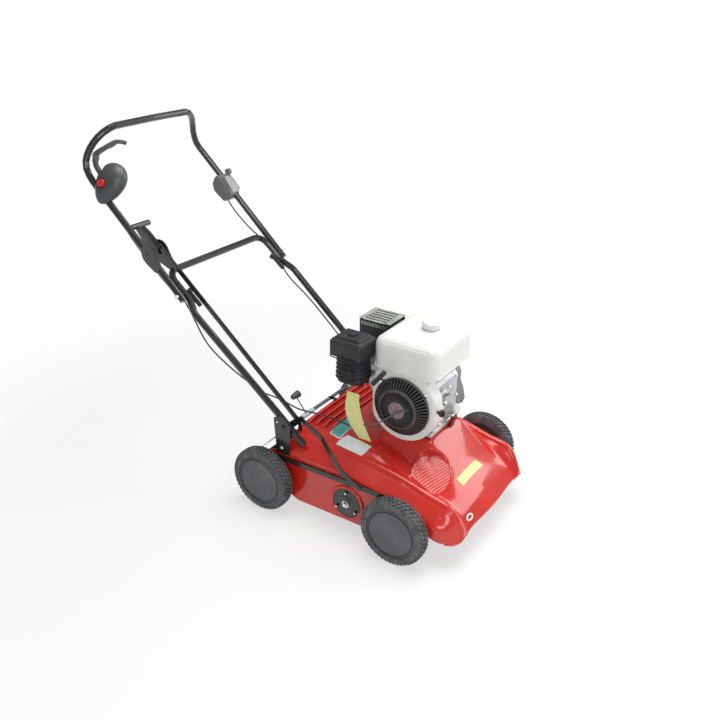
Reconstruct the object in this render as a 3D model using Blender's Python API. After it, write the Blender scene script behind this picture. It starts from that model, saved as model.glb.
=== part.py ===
"""Petrol lawn aerator: pressed deck on four wheels, tined rotor under it, small engine on top.

Metres, +Z up. The front of the machine is -Y, the operator stands at +Y and the operator's
right is -X. Ground is z = 0 and the mid-plane is x = 0.
"""
import math

import bmesh
import bpy
import numpy as np
from mathutils import Vector

# Running clearances
FIT = 0.0003
FREE = 0.0005
SEAT = 0.0009

# Wheels
WHEEL_R = 0.110
TYRE_HALF_W = 0.0225
RIM_R = 0.0835
TRACK_HALF = 0.3045
WHEELBASE = 0.500
FRONT_AXLE_Y = -0.143
WHEEL_SEG = 24
STUB_R = 0.008

# Height adjustment: every crank has the same lever vector, so the links only shift
AXLE_DROP = 0.040
AXLE_SET = 0.040
CROSS_TUBE_R = 0.010
LEVER_Y = -0.0498
LEVER_Z = 0.0418
ROD_ARM_Y = -0.026
ROD_ARM_Z = 0.026
PIN_R = 0.004
LINK_T = 0.0035
TIE_H = 0.016

# Deck
DECK_T = 0.0025
PLATE_T = 0.003
SIDE_X = 0.2665
SKIRT_X = 0.268
DECK_ACROSS = 9
DECK_ALONG = 14
DECK_CORE_COLUMNS = 7
LOUVRE_COUNT = 4
LOUVRE_H = 0.007
LOUVRE_PITCH = 0.026
LOUVRE_START_Y = 0.166
LOUVRE_HALF = 0.170
SADDLE_HALF = 0.085
BAR_Y = 0.302
BAR_Z = 0.286
BAR_R = 0.006
FLAP_LENGTH = 0.165
FLAP_HALF = 0.230

# Rotor
ROTOR_Y = 0.050
ROTOR_Z = 0.112
ROTOR_SHAFT_R = 0.0125
TINE_R = 0.098
TINE_T = 0.003
TINE_COUNT = 11
TINE_SPIRAL = 5
TINE_FROM_X = -0.235
TINE_TO_X = 0.095
TINE_BOSS_R = 0.0210
FLANGE_R = 0.050
FLANGE_T = 0.008

# Engine
CRANK_Y = -0.056
CRANK_Z = 0.427
CRANK_R = 0.010
FOOT_Z = 0.315
RECOIL_X = -0.165
RECOIL_R = 0.0895
RECOIL_DEPTH = 0.034
RECOIL_SLOTS = 30
BLOWER_R = 0.115
TANK_Z = 0.5335
TANK_TOP = 0.632
CAP_AT = (0.014, -0.066)
CYL_TILT = math.radians(25)
CASE_REAR = 0.074
CASE_LEFT = 0.086

# Belt drive
BELT_X = 0.128
BELT_W = 0.012
BELT_T = 0.006
DRIVE_R = 0.040
DRIVEN_R = 0.050
GUARD_R = 0.055
GUARD_X0 = 0.0985
GUARD_X1 = 0.1550
GUARD_T = 0.0025

# Handle
TUBE_R = 0.0115
TUBE_SEG = 10
FOOT_X = 0.250
KNEE_X = 0.2595
NECK_X = 0.2375
UPPER_X = NECK_X + 2 * TUBE_R + 0.001
LOWER_Y0 = 0.226
LOWER_Z0 = 0.2496
LOWER_ANGLE = math.radians(40.0)
LOWER_LENGTH = 0.7219
LOWER_BEND_R = 0.038
FOLD_AT = 0.6305
UPPER_ANGLE = math.radians(42.6)
UPPER_TAIL = 0.022
CLAMP_R = 0.0090
CLAMP_X = NECK_X - TUBE_R - FREE - CLAMP_R

# Height lever
LEVER_PIVOT_Y = 0.854
LEVER_PIVOT_Z = 0.764
LEVER_ANGLE = math.radians(49.0)
LEVER_LENGTH = 0.1007
GRIP_X0 = -0.2470
GRIP_X1 = -0.1670
CABLE_R = 0.0026
THROTTLE_AT = 0.320
THROTTLE_X0 = UPPER_X - 0.038
THROTTLE_X1 = UPPER_X + 0.015
THROTTLE_SLOT = UPPER_X - 0.022
OPC_LENGTH = 0.071
OPC_WIDTH = 0.047
OPC_DEPTH = 0.031
BUTTON_R = 0.0130
LEVER_PIN_R = 0.005
LEVER_X0 = -0.2245
LEVER_X1 = -0.2195
ROD_X = -0.2165
ROD_W = 0.018
ROD_T = 0.004

RIGHT = -1
LEFT = 1

REAR_AXLE_Y = FRONT_AXLE_Y + WHEELBASE
FRONT_PIVOT = (FRONT_AXLE_Y + AXLE_SET, WHEEL_R + AXLE_DROP)
REAR_PIVOT = (REAR_AXLE_Y + AXLE_SET, WHEEL_R + AXLE_DROP)
LOWER_DIR = (math.cos(LOWER_ANGLE), math.sin(LOWER_ANGLE))
UPPER_DIR = (math.cos(UPPER_ANGLE), math.sin(UPPER_ANGLE))
FOLD_Y = LOWER_Y0 + FOLD_AT * LOWER_DIR[0]
FOLD_Z = LOWER_Z0 + FOLD_AT * LOWER_DIR[1]

# The deck is lofted over these lines, given as x, y, z from the rear edge to the front lip
DECK_LINES = (
    ((0.000, 0.2925, 0.255), (0.000, 0.290, 0.279), (0.000, 0.200, 0.284), (0.000, 0.100, 0.286),
     (0.000, 0.000, 0.281), (0.000, -0.100, 0.256), (0.000, -0.195, 0.212), (0.000, -0.277, 0.156),
     (0.000, -0.320, 0.092)),
    ((0.150, 0.2925, 0.250), (0.150, 0.290, 0.274), (0.150, 0.200, 0.280), (0.150, 0.100, 0.277),
     (0.150, 0.000, 0.265), (0.150, -0.100, 0.238), (0.150, -0.195, 0.197), (0.150, -0.275, 0.147),
     (0.150, -0.308, 0.092)),
    ((0.205, 0.2925, 0.240), (0.205, 0.290, 0.260), (0.205, 0.200, 0.259), (0.205, 0.100, 0.253),
     (0.205, 0.000, 0.243), (0.205, -0.100, 0.230), (0.205, -0.195, 0.206), (0.205, -0.278, 0.182),
     (0.196, -0.327, 0.098)),
    ((0.245, 0.2925, 0.226), (0.245, 0.290, 0.241), (0.245, 0.200, 0.237), (0.245, 0.100, 0.231),
     (0.245, 0.000, 0.222), (0.245, -0.100, 0.203), (0.245, -0.195, 0.177), (0.243, -0.272, 0.156),
     (0.226, -0.318, 0.089)),
    ((0.2665, 0.2925, 0.212), (0.2665, 0.290, 0.216), (0.2665, 0.200, 0.216), (0.2665, 0.100, 0.215),
     (0.2665, 0.000, 0.207), (0.2665, -0.100, 0.184), (0.2665, -0.195, 0.156), (0.264, -0.258, 0.135),
     (0.244, -0.302, 0.086)),
    ((SKIRT_X, 0.2925, 0.203), (SKIRT_X, 0.290, 0.203), (SKIRT_X, 0.200, 0.203), (SKIRT_X, 0.100, 0.202),
     (SKIRT_X, 0.000, 0.196), (SKIRT_X, -0.100, 0.172), (SKIRT_X, -0.192, 0.145), (0.266, -0.240, 0.106),
     (0.250, -0.284, 0.084)),
)


def clear_scene():
    for thing in list(bpy.data.objects):
        bpy.data.objects.remove(thing, do_unlink=True)


def material(name, colour, roughness, metallic=0.0):
    made = bpy.data.materials.new(name)
    made.use_nodes = True
    shader = made.node_tree.nodes["Principled BSDF"]
    shader.inputs["Base Color"].default_value = (*colour, 1.0)
    shader.inputs["Roughness"].default_value = roughness
    shader.inputs["Metallic"].default_value = metallic
    return made


def link(thing):
    bpy.context.scene.collection.objects.link(thing)
    return thing


def empty(name, place, parent=None):
    """An empty at a joint or at the root; `place` is a point of the design frame."""
    made = link(bpy.data.objects.new(name, None))
    made["place"] = Vector(place)
    made.location = Vector(place)
    if parent is not None:
        made.parent = parent
        made.location = Vector(place) - Vector(parent["place"])
    return made


def mesh_object(name, bm):
    bmesh.ops.remove_doubles(bm, verts=bm.verts, dist=1e-6)
    bmesh.ops.recalc_face_normals(bm, faces=bm.faces)
    mesh = bpy.data.meshes.new(name)
    bm.to_mesh(mesh)
    bm.free()
    mesh.shade_smooth()
    mesh.set_sharp_from_angle(angle=math.radians(32))
    return link(bpy.data.objects.new(name, mesh))


def place(thing, body, paint):
    """Hang a finished piece on its body's empty and give it its material."""
    thing.data.materials.clear()
    thing.data.materials.append(paint)
    thing.parent = body
    thing.location = -Vector(body["place"])
    return thing


def bake(thing):
    """Replace a mesh by what its modifiers make of it."""
    graph = bpy.context.evaluated_depsgraph_get()
    mesh = bpy.data.meshes.new_from_object(thing.evaluated_get(graph))
    thing.modifiers.clear()
    thing.data = mesh
    mesh.shade_smooth()
    mesh.set_sharp_from_angle(angle=math.radians(32))
    return thing


def boolean(thing, others, operation):
    for other in others:
        step = thing.modifiers.new(operation.lower(), "BOOLEAN")
        step.operation = operation
        step.solver = "EXACT"
        step.object = other
        bake(thing)
        bpy.data.objects.remove(other, do_unlink=True)
    return thing


def fuse(thing, *others):
    return boolean(thing, others, "UNION")


def cut(thing, *others):
    return boolean(thing, others, "DIFFERENCE")


# Shape builders


def frame_of(axis):
    """The unit vectors along an axis and across it."""
    along = Vector(axis).normalized()
    hint = Vector((0, 0, 1)) if abs(along.z) < 0.9 else Vector((0, 1, 0))
    side = hint.cross(along).normalized()
    return along, side, along.cross(side)


def add_lathe(bm, profile, axis, centre, seg, ring=False, wave=None):
    """Turn (along, radius) points about an axis. A profile that isn't a ring starts and ends on the axis.

    `wave` scales each spoke's radius by its number and its point's number.
    """
    along, side, up = frame_of(axis)
    centre = Vector(centre)
    rows = []
    for number, (distance, radius) in enumerate(profile):
        if radius == 0.0:
            rows.append([bm.verts.new(centre + along * distance)])
            continue
        row = []
        for spoke in range(seg):
            angle = 2 * math.pi * spoke / seg
            reach = radius if wave is None else radius + wave(spoke, number)
            row.append(bm.verts.new(centre + along * distance
                                    + (side * math.cos(angle) + up * math.sin(angle)) * reach))
        rows.append(row)
    pairs = list(zip(rows, rows[1:]))
    if ring:
        pairs.append((rows[-1], rows[0]))
    for low, high in pairs:
        for spoke in range(seg):
            nxt = (spoke + 1) % seg
            if len(low) == 1:
                bm.faces.new((low[0], high[spoke], high[nxt]))
            elif len(high) == 1:
                bm.faces.new((low[spoke], high[0], low[nxt]))
            else:
                bm.faces.new((low[spoke], high[spoke], high[nxt], low[nxt]))


def lathe(name, profile, axis, centre, seg, ring=False, wave=None):
    bm = bmesh.new()
    add_lathe(bm, profile, axis, centre, seg, ring, wave)
    return mesh_object(name, bm)


def add_cylinder(bm, start, end, radius, seg=16):
    start, end = Vector(start), Vector(end)
    length = (end - start).length
    add_lathe(bm, ((0, 0.0), (0, radius), (length, radius), (length, 0.0)), end - start, start, seg)


def cylinder(name, start, end, radius, seg=16):
    bm = bmesh.new()
    add_cylinder(bm, start, end, radius, seg)
    return mesh_object(name, bm)


def add_pipe(bm, start, end, inner, outer, seg=16):
    start, end = Vector(start), Vector(end)
    length = (end - start).length
    add_lathe(bm, ((0, inner), (0, outer), (length, outer), (length, inner)), end - start, start, seg,
              ring=True)


def add_prism(bm, outline, x0, x1):
    """Extrude a closed outline of (y, z) points along X."""
    low = [bm.verts.new((x0, y, z)) for y, z in outline]
    high = [bm.verts.new((x1, y, z)) for y, z in outline]
    bm.faces.new(low)
    bm.faces.new(list(reversed(high)))
    count = len(outline)
    for i in range(count):
        j = (i + 1) % count
        bm.faces.new((low[i], low[j], high[j], high[i]))


def prism(name, outline, x0, x1):
    bm = bmesh.new()
    add_prism(bm, outline, x0, x1)
    return mesh_object(name, bm)


def add_box(bm, low, high):
    (x0, y0, z0), (x1, y1, z1) = low, high
    add_prism(bm, ((y0, z0), (y1, z0), (y1, z1), (y0, z1)), x0, x1)


def box(name, low, high, bevel=0.0, segments=2):
    bm = bmesh.new()
    add_box(bm, low, high)
    if bevel:
        bmesh.ops.bevel(bm, geom=list(bm.edges), offset=bevel, segments=segments, profile=0.5,
                        affect="EDGES", clamp_overlap=True)
    return mesh_object(name, bm)


def arc(centre, radius, start, end, steps):
    """Points of (y, z) on an arc, angles in degrees."""
    points = []
    for i in range(steps + 1):
        angle = math.radians(start + (end - start) * i / steps)
        points.append((centre[0] + radius * math.cos(angle), centre[1] + radius * math.sin(angle)))
    return points


def capsule(p, q, rp, rq, steps=6):
    """The outline round two circles in the (y, z) plane."""
    dy, dz = q[0] - p[0], q[1] - p[1]
    heading = math.degrees(math.atan2(dz, dy))
    lean = math.degrees(math.asin((rp - rq) / math.hypot(dy, dz)))
    end = arc(q, rq, heading - 90 + lean, heading + 90 - lean, steps)
    start = arc(p, rp, heading + 90 - lean, heading + 270 + lean, steps)
    return end + start


def add_tube(bm, path, radius, seg=12, taper=None):
    """A round bar along a path of points, with flat ends; `taper` scales the radius along it from 0 to 1."""
    points = [Vector(p) for p in path]
    tangents = []
    for i in range(len(points)):
        before = points[max(i - 1, 0)]
        after = points[min(i + 1, len(points) - 1)]
        tangents.append((after - before).normalized())
    _, side, _ = frame_of(tangents[0])
    rows = []
    for number, (point, tangent) in enumerate(zip(points, tangents)):
        reach = radius * (taper(number / (len(points) - 1)) if taper else 1.0)
        side = (side - tangent * side.dot(tangent)).normalized()
        up = tangent.cross(side)
        rows.append([bm.verts.new(point + (side * math.cos(2 * math.pi * k / seg)
                                           + up * math.sin(2 * math.pi * k / seg)) * reach)
                     for k in range(seg)])
    for low, high in zip(rows, rows[1:]):
        for k in range(seg):
            nxt = (k + 1) % seg
            bm.faces.new((low[k], high[k], high[nxt], low[nxt]))
    bm.faces.new(rows[0])
    bm.faces.new(list(reversed(rows[-1])))


def tube(name, path, radius, seg=12):
    bm = bmesh.new()
    add_tube(bm, path, radius, seg)
    return mesh_object(name, bm)


def rounded(points, radius, steps=5):
    """A polyline whose corners are turned into arcs."""
    points = [Vector(p) for p in points]
    path = [points[0]]
    for before, corner, after in zip(points, points[1:], points[2:]):
        a = (before - corner).normalized()
        b = (after - corner).normalized()
        half = a.angle(b) / 2
        reach = radius / math.tan(half)
        centre = corner + (a + b).normalized() * (radius / math.sin(half))
        start = corner + a * reach - centre
        end = corner + b * reach - centre
        turn = start.angle(end)
        for i in range(steps + 1):
            share = i / steps
            path.append(centre + start * (math.sin(turn * (1 - share)) / math.sin(turn))
                        + end * (math.sin(turn * share) / math.sin(turn)))
    path.append(points[-1])
    return path


def smooth(points, count):
    """Points read evenly from a Catmull-Rom curve through the given ones."""
    pts = np.array([tuple(p) for p in points], float)
    ext = np.vstack([2 * pts[0] - pts[1], pts, 2 * pts[-1] - pts[-2]])
    fine = []
    for i in range(1, len(ext) - 2):
        p0, p1, p2, p3 = ext[i - 1:i + 3]
        for t in np.linspace(0, 1, 24, endpoint=False):
            fine.append(0.5 * (2 * p1 + (p2 - p0) * t + (2 * p0 - 5 * p1 + 4 * p2 - p3) * t * t
                               + (3 * p1 - p0 - 3 * p2 + p3) * t ** 3))
    fine.append(pts[-1])
    fine = np.array(fine)
    run = np.concatenate([[0], np.cumsum(np.linalg.norm(np.diff(fine, axis=0), axis=1))])
    wanted = np.linspace(0, run[-1], count)
    return [Vector([float(np.interp(s, run, fine[:, k])) for k in range(3)]) for s in wanted]


def cable(name, points, count):
    """A Bowden cable: a round curve with closed ends."""
    curve = bpy.data.curves.new(name, "CURVE")
    curve.dimensions = "3D"
    curve.bevel_depth = CABLE_R
    curve.bevel_resolution = 1
    curve.use_fill_caps = True
    line = curve.splines.new("POLY")
    path = smooth(points, count)
    line.points.add(len(path) - 1)
    for slot, point in zip(line.points, path):
        slot.co = (*point, 1.0)
    return link(bpy.data.objects.new(name, curve))


def on_lower(distance, lift=0.0):
    """(y, z) of a point along the lower handle tube's axis, lifted square to it."""
    return (LOWER_Y0 + distance * LOWER_DIR[0] - lift * LOWER_DIR[1],
            LOWER_Z0 + distance * LOWER_DIR[1] + lift * LOWER_DIR[0])


def on_upper(distance, lift=0.0):
    """The same along the upper tube, from the fold bolt."""
    return (FOLD_Y + distance * UPPER_DIR[0] - lift * UPPER_DIR[1],
            FOLD_Z + distance * UPPER_DIR[1] + lift * UPPER_DIR[0])


# Deck


def deck_grid(across, along):
    """Surface points of the deck's right half, rows from rear to front, columns from the middle out."""
    lines = np.array([[line[0]] + [tuple(v) for v in smooth(line[1:], along - 1)] for line in DECK_LINES])
    rows = []
    for i in range(along):
        rows.append(np.array([tuple(v) for v in smooth(lines[:, i, :], across)]))
    return np.array(rows)


def deck_core(lift):
    """Everything below the deck's surface raised by `lift`: cuts the feet of what stands on the deck."""
    grid = deck_grid(DECK_ACROSS, DECK_ALONG)[1:, :DECK_CORE_COLUMNS]
    bm = bmesh.new()
    top, bottom = [], []
    for row in grid:
        full = [(-p[0], p[1], p[2]) for p in row[:0:-1]] + [tuple(p) for p in row]
        top.append([bm.verts.new((x, y, z + lift)) for x, y, z in full])
        bottom.append([bm.verts.new((x, y, 0.0)) for x, y, _ in full])
    for layer in (top, bottom):
        for a, b in zip(layer, layer[1:]):
            for k in range(len(a) - 1):
                bm.faces.new((a[k], a[k + 1], b[k + 1], b[k]))
    for k in range(len(top[0]) - 1):
        for i in (0, -1):
            bm.faces.new((top[i][k], top[i][k + 1], bottom[i][k + 1], bottom[i][k]))
    for i in range(len(top) - 1):
        for k in (0, -1):
            bm.faces.new((top[i][k], top[i + 1][k], bottom[i + 1][k], bottom[i][k]))
    return mesh_object("core", bm)


def louvre_lift(x, y):
    """Height of the louvre steps over the plain surface."""
    step = (y - LOUVRE_START_Y) / LOUVRE_PITCH
    if step < 0 or step >= LOUVRE_COUNT or abs(x) > LOUVRE_HALF:
        return 0.0
    edge = min(1.0, (LOUVRE_HALF - abs(x)) / 0.012)
    part = step - math.floor(step)
    return LOUVRE_H * edge * max(0.0, 1 - part / 0.75)


def deck_shell():
    half = deck_grid(DECK_ACROSS, DECK_ALONG)
    extra = []
    for louvre in range(LOUVRE_COUNT):
        foot = LOUVRE_START_Y + louvre * LOUVRE_PITCH
        extra += [foot - 0.001, foot + 0.001, foot + 0.74 * LOUVRE_PITCH]
    rows = [row for row in half]
    for y in extra:
        for i in range(len(rows) - 1):
            if rows[i][0][1] > y > rows[i + 1][0][1]:
                share = (rows[i][0][1] - y) / (rows[i][0][1] - rows[i + 1][0][1])
                rows.insert(i + 1, rows[i] * (1 - share) + rows[i + 1] * share)
                break
    bm = bmesh.new()
    verts = []
    for row in rows:
        full = [(-p[0], p[1], p[2]) for p in row[:0:-1]] + [tuple(p) for p in row]
        verts.append([bm.verts.new((x, y, z + louvre_lift(x, y))) for x, y, z in full])
    for a, b in zip(verts, verts[1:]):
        for k in range(len(a) - 1):
            bm.faces.new((a[k], a[k + 1], b[k + 1], b[k]))
    bmesh.ops.recalc_face_normals(bm, faces=bm.faces)
    if sum(f.normal.z for f in bm.faces) < 0:
        bmesh.ops.reverse_faces(bm, faces=bm.faces)
    mesh = bpy.data.meshes.new("deck_shell")
    bm.to_mesh(mesh)
    bm.free()
    shell = link(bpy.data.objects.new("deck_shell", mesh))
    wall = shell.modifiers.new("wall", "SOLIDIFY")
    wall.thickness = DECK_T
    wall.offset = -1
    wall.use_even_offset = False
    bake(shell)
    fuse(shell, side_plate(RIGHT), side_plate(LEFT), *engine_saddle())
    slot_y = CRANK_Y + (CRANK_Z - DECK_LINES[0][4][2]) / (CRANK_Z - ROTOR_Z) * (ROTOR_Y - CRANK_Y)
    slot = box("belt_slot", (BELT_X - 0.016, slot_y - 0.066, 0.20), (BELT_X + 0.016, slot_y + 0.066, 0.32))
    return cut(shell, slot)


def engine_saddle():
    """Raised seat under the engine's feet, hollow below, whose front runs down into the deck."""
    top = FOOT_Z - FIT
    near, far = -0.0800, 0.0900
    front, rear = CRANK_Y - 0.082, CRANK_Y + 0.082
    wall = 0.012
    spread = 0.065
    bm = bmesh.new()
    for x, out in ((near, -spread), (far, spread)):
        for y, z, share in ((rear, top, 0), (front, top, 0), (rear, 0.160, 0), (-0.292, 0.140, 1)):
            bm.verts.new((x + out * share, y, z))
    bmesh.ops.convex_hull(bm, input=list(bm.verts))
    seat = mesh_object("seat", bm)
    inside = box("inside", (near + wall, front + wall, 0.10), (far - wall, rear - wall, 0.40))
    return [cut(seat, inside, deck_core(-0.5 * DECK_T))]


def side_plate(side):
    """Flat side of the deck with its bearing hole, the raised arch round it and the axle holes."""
    outline = ((0.245, 0.044), (0.300, 0.068), (0.400, 0.120), (0.420, 0.140), (0.420, 0.165),
               (0.398, 0.186), (0.330, 0.2100), (0.290, 0.2110), (0.100, 0.2090), (0.000, 0.2015),
               (-0.100, 0.1780), (-0.165, 0.1590), (-0.185, 0.110), (-0.120, 0.062), (-0.020, 0.044))
    inner, outer = SIDE_X - PLATE_T, SIDE_X
    plate = prism("side_plate", outline, side * inner, side * outer)
    rim = bmesh.new()
    add_lathe(rim, ((0, FLANGE_R + 0.002), (0, FLANGE_R + 0.007), (0.006, FLANGE_R + 0.007),
                    (0.006, FLANGE_R + 0.002)), (side, 0, 0),
              (side * (SIDE_X - 0.001), ROTOR_Y, ROTOR_Z), 20, ring=True)
    arch = mesh_object("arch", rim)
    fuse(plate, arch)
    holes = [cylinder("hole", (side * 0.24, y, z), (side * 0.28, y, z), r, 16)
             for y, z, r in ((FRONT_PIVOT[0], FRONT_PIVOT[1], CROSS_TUBE_R + FREE),
                             (REAR_PIVOT[0], REAR_PIVOT[1], CROSS_TUBE_R + FREE),
                             (ROTOR_Y, ROTOR_Z, 0.030))]
    return cut(plate, *holes)


def rear_bar():
    bm = bmesh.new()
    add_cylinder(bm, (-0.2385, BAR_Y, BAR_Z), (0.2385, BAR_Y, BAR_Z), BAR_R, 12)
    bar = mesh_object("rear_bar", bm)
    lugs = []
    for x in (-0.199, 0.0, 0.199):
        lug = ((0.2735, 0.24), (0.2875, 0.24), (0.2875, 0.2842), (0.2955, 0.2826),
               (BAR_Y + 0.003, BAR_Z - 0.008),
               (BAR_Y + 0.007, BAR_Z + 0.004), (BAR_Y - 0.004, BAR_Z + 0.009), (0.2735, 0.292))
        lugs.append(prism("lug", lug, x - 0.0015, x + 0.0015))
    return cut(fuse(bar, *lugs), deck_core(SEAT))


def rear_flap():
    lean = math.radians(-45)
    direction = (math.cos(lean), math.sin(lean))
    across = (-direction[1], direction[0])
    start = (BAR_Y + direction[0] * 0.015, BAR_Z + direction[1] * 0.015)
    end = (BAR_Y + direction[0] * FLAP_LENGTH, BAR_Z + direction[1] * FLAP_LENGTH)
    half = 0.0011
    outline = [(start[0] - across[0] * half, start[1] - across[1] * half),
               (end[0] - across[0] * half, end[1] - across[1] * half),
               (end[0] + across[0] * half, end[1] + across[1] * half),
               (start[0] + across[0] * half, start[1] + across[1] * half)]
    flap = prism("rear_flap", outline, -FLAP_HALF, FLAP_HALF)
    knuckles = []
    for x0, x1 in ((-0.190, -0.100), (0.100, 0.190)):
        leaf = [(BAR_Y + direction[0] * d - across[0] * s, BAR_Z + direction[1] * d - across[1] * s)
                for d, s in ((0.0075, 0.0015), (0.020, 0.0011), (0.020, -0.0011), (0.0075, -0.0015))]
        knuckles.append(prism("leaf", leaf, x0, x1))
        bm = bmesh.new()
        add_pipe(bm, (x0, BAR_Y, BAR_Z), (x1, BAR_Y, BAR_Z), BAR_R + FREE, 0.0088, 12)
        knuckles.append(mesh_object("knuckle", bm))
    return fuse(flap, *knuckles)


def handle_bracket(side):
    """Pressed bracket that holds the lower tube's end against the deck's side, with its two bolts."""
    word = "right" if side == RIGHT else "left"
    plate = prism("handle_bracket_" + word, ((0.272, 0.206), (0.322, 0.206), (0.330, 0.330), (0.300, 0.344),
                                             (0.264, 0.316)), side * 0.2685, side * 0.2712)
    block = prism("block", [on_lower(d, s) for d, s in ((0.062, -0.0125), (0.112, -0.0125), (0.112, 0.0125),
                                                        (0.062, 0.0125))],
                  side * (FOOT_X + TUBE_R + FIT), side * 0.2700)
    bolts = [cylinder("bolt", (side * 0.2705, y, z), (side * 0.2760, y, z), 0.0070, 6)
             for y, z in ((0.2975, 0.2310), on_lower(0.088))]
    return fuse(plate, block, *bolts)


# Running gear


def tyre(side, y, name):
    w = TYRE_HALF_W
    profile = ((-w, RIM_R + 0.0005), (-w, 0.0985), (-w + 0.005, 0.1075), (-0.006, WHEEL_R),
               (0.006, WHEEL_R),
               (w - 0.005, 0.1075), (w, 0.0985), (w, RIM_R + 0.0005))
    return lathe(name, profile, (side, 0, 0), (side * TRACK_HALF, y, WHEEL_R), WHEEL_SEG, ring=True)


def rim(side, y, name):
    w = TYRE_HALF_W
    profile = ((w + 0.0020, 0.0), (w + 0.0012, 0.045), (w - 0.0005, 0.0795), (w - 0.003, RIM_R),
               (-w + 0.002, RIM_R),
               (-w + 0.002, 0.0790), (w - 0.007, 0.0790), (w - 0.007, 0.019), (-w + 0.0008, 0.019),
               (-w + 0.0008, STUB_R + FREE), (w - 0.010, STUB_R + FREE), (w - 0.010, 0.0))
    return lathe(name, profile, (side, 0, 0), (side * TRACK_HALF, y, WHEEL_R), WHEEL_SEG)


def cranked_axle(name, pivot, axle_y):
    """A cross tube with an arm and a stub at each end; the right arm also drives the tie bar."""
    reach = 0.2725
    axle = cylinder(name, (-reach + 0.001, *pivot), (reach - 0.001, *pivot), CROSS_TUBE_R, 16)
    parts = []
    for side in (RIGHT, LEFT):
        inner, outer = side * 0.2686, side * 0.2725
        parts.append(prism("arm", capsule(pivot, (axle_y, WHEEL_R), 0.0145, 0.0125), inner, outer))
        parts.append(cylinder("stub", (outer - side * 0.002, axle_y, WHEEL_R),
                              (side * (TRACK_HALF + 0.0115), axle_y, WHEEL_R), STUB_R, 14))
    pin = (pivot[0] + LEVER_Y, pivot[1] + LEVER_Z)
    parts.append(prism("lever", capsule(pivot, pin, 0.0142, 0.009), -0.2686, -0.2725))
    parts.append(cylinder("pin", (-0.2710, *pin), (-0.2768, *pin), PIN_R, 12))
    return fuse(axle, *parts)


def tie_bar():
    front = (FRONT_PIVOT[0] + LEVER_Y, FRONT_PIVOT[1] + LEVER_Z)
    rear = (REAR_PIVOT[0] + LEVER_Y, REAR_PIVOT[1] + LEVER_Z)
    half = TIE_H / 2
    bar = prism("tie_bar", capsule(front, rear, half, half + 1e-6), -0.2765, -0.2730)
    joint = link_foot()
    holes = [cylinder("hole", (-0.27, *p), (-0.28, *p), r, 12)
             for p, r in ((front, PIN_R + FREE), (rear, PIN_R + 0.001), (joint, PIN_R + FIT))]
    return cut(bar, *holes)


def link_foot():
    """Where the pull link is pinned to the tie bar."""
    return (0.001, FRONT_PIVOT[1] + LEVER_Z)


def pull_link():
    foot = link_foot()
    top = (BAR_Y + LEVER_Y, BAR_Z + LEVER_Z)
    x_low, x_high = -0.2790, -0.22875
    slope = math.atan2(top[1] - foot[1], top[0] - foot[0])
    t = (math.cos(slope), math.sin(slope))
    n = (-t[1], t[0])
    run = math.hypot(top[0] - foot[0], top[1] - foot[1])
    stations = ((-0.008, x_low), (0.075, x_low), (0.195, x_high), (run + 0.008, x_high))
    half, thick = 0.008, LINK_T / 2
    bm = bmesh.new()
    rows = []
    for d, x in stations:
        base = (foot[0] + t[0] * d, foot[1] + t[1] * d)
        row = []
        for dx, s in ((-thick, -half), (thick, -half), (thick, half), (-thick, half)):
            row.append(bm.verts.new((x + dx, base[0] + n[0] * s, base[1] + n[1] * s)))
        rows.append(row)
    for a, b in zip(rows, rows[1:]):
        for k in range(4):
            j = (k + 1) % 4
            bm.faces.new((a[k], a[j], b[j], b[k]))
    bm.faces.new(rows[0])
    bm.faces.new(list(reversed(rows[-1])))
    bar = mesh_object("pull_link", bm)
    pin = cylinder("pin", (x_low, *foot), (-0.2730, *foot), PIN_R, 12)
    hole = cylinder("hole", (x_high - 0.01, *top), (x_high + 0.01, *top), PIN_R + FREE, 12)
    return cut(fuse(bar, pin), hole)


def adjust_crank():
    """The small crank on the rear bar between the control rod and the pull link."""
    hub = bmesh.new()
    add_pipe(hub, (-0.2365, BAR_Y, BAR_Z), (-0.2030, BAR_Y, BAR_Z), BAR_R + FREE, 0.0115, 16)
    crank = mesh_object("adjust_crank", hub)
    link_pin = (BAR_Y + LEVER_Y, BAR_Z + LEVER_Z)
    rod_pin = (BAR_Y + ROD_ARM_Y, BAR_Z + ROD_ARM_Z)
    arms = []
    for pin, x0, x1, tip in ((link_pin, -0.2265, -0.2225, -0.2308), (rod_pin, -0.2140, -0.2100, -0.2190)):
        arms.append(prism("arm", capsule((BAR_Y, BAR_Z), pin, 0.0114, 0.0080), x0, x1))
        arms.append(cylinder("pin", ((x0 + x1) / 2, *pin), (tip, *pin), PIN_R, 12))
    fuse(crank, *arms)
    bore = cylinder("bore", (-0.25, BAR_Y, BAR_Z), (-0.19, BAR_Y, BAR_Z), BAR_R + FREE, 16)
    return cut(crank, bore)


def adjust_rod():
    low = (BAR_Y + ROD_ARM_Y, BAR_Z + ROD_ARM_Z)
    high = (LEVER_PIVOT_Y + ROD_ARM_Y, LEVER_PIVOT_Z + ROD_ARM_Z)
    x0, x1 = ROD_X - ROD_T / 2, ROD_X + ROD_T / 2
    rod = prism("adjust_rod", capsule(low, high, ROD_W / 2, ROD_W / 2 + 1e-6), x0, x1)
    holes = [cylinder("hole", (x0 - 0.01, *p), (x1 + 0.01, *p), r, 12)
             for p, r in ((low, PIN_R + FREE), (high, PIN_R + 0.001))]
    return cut(rod, *holes)


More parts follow.
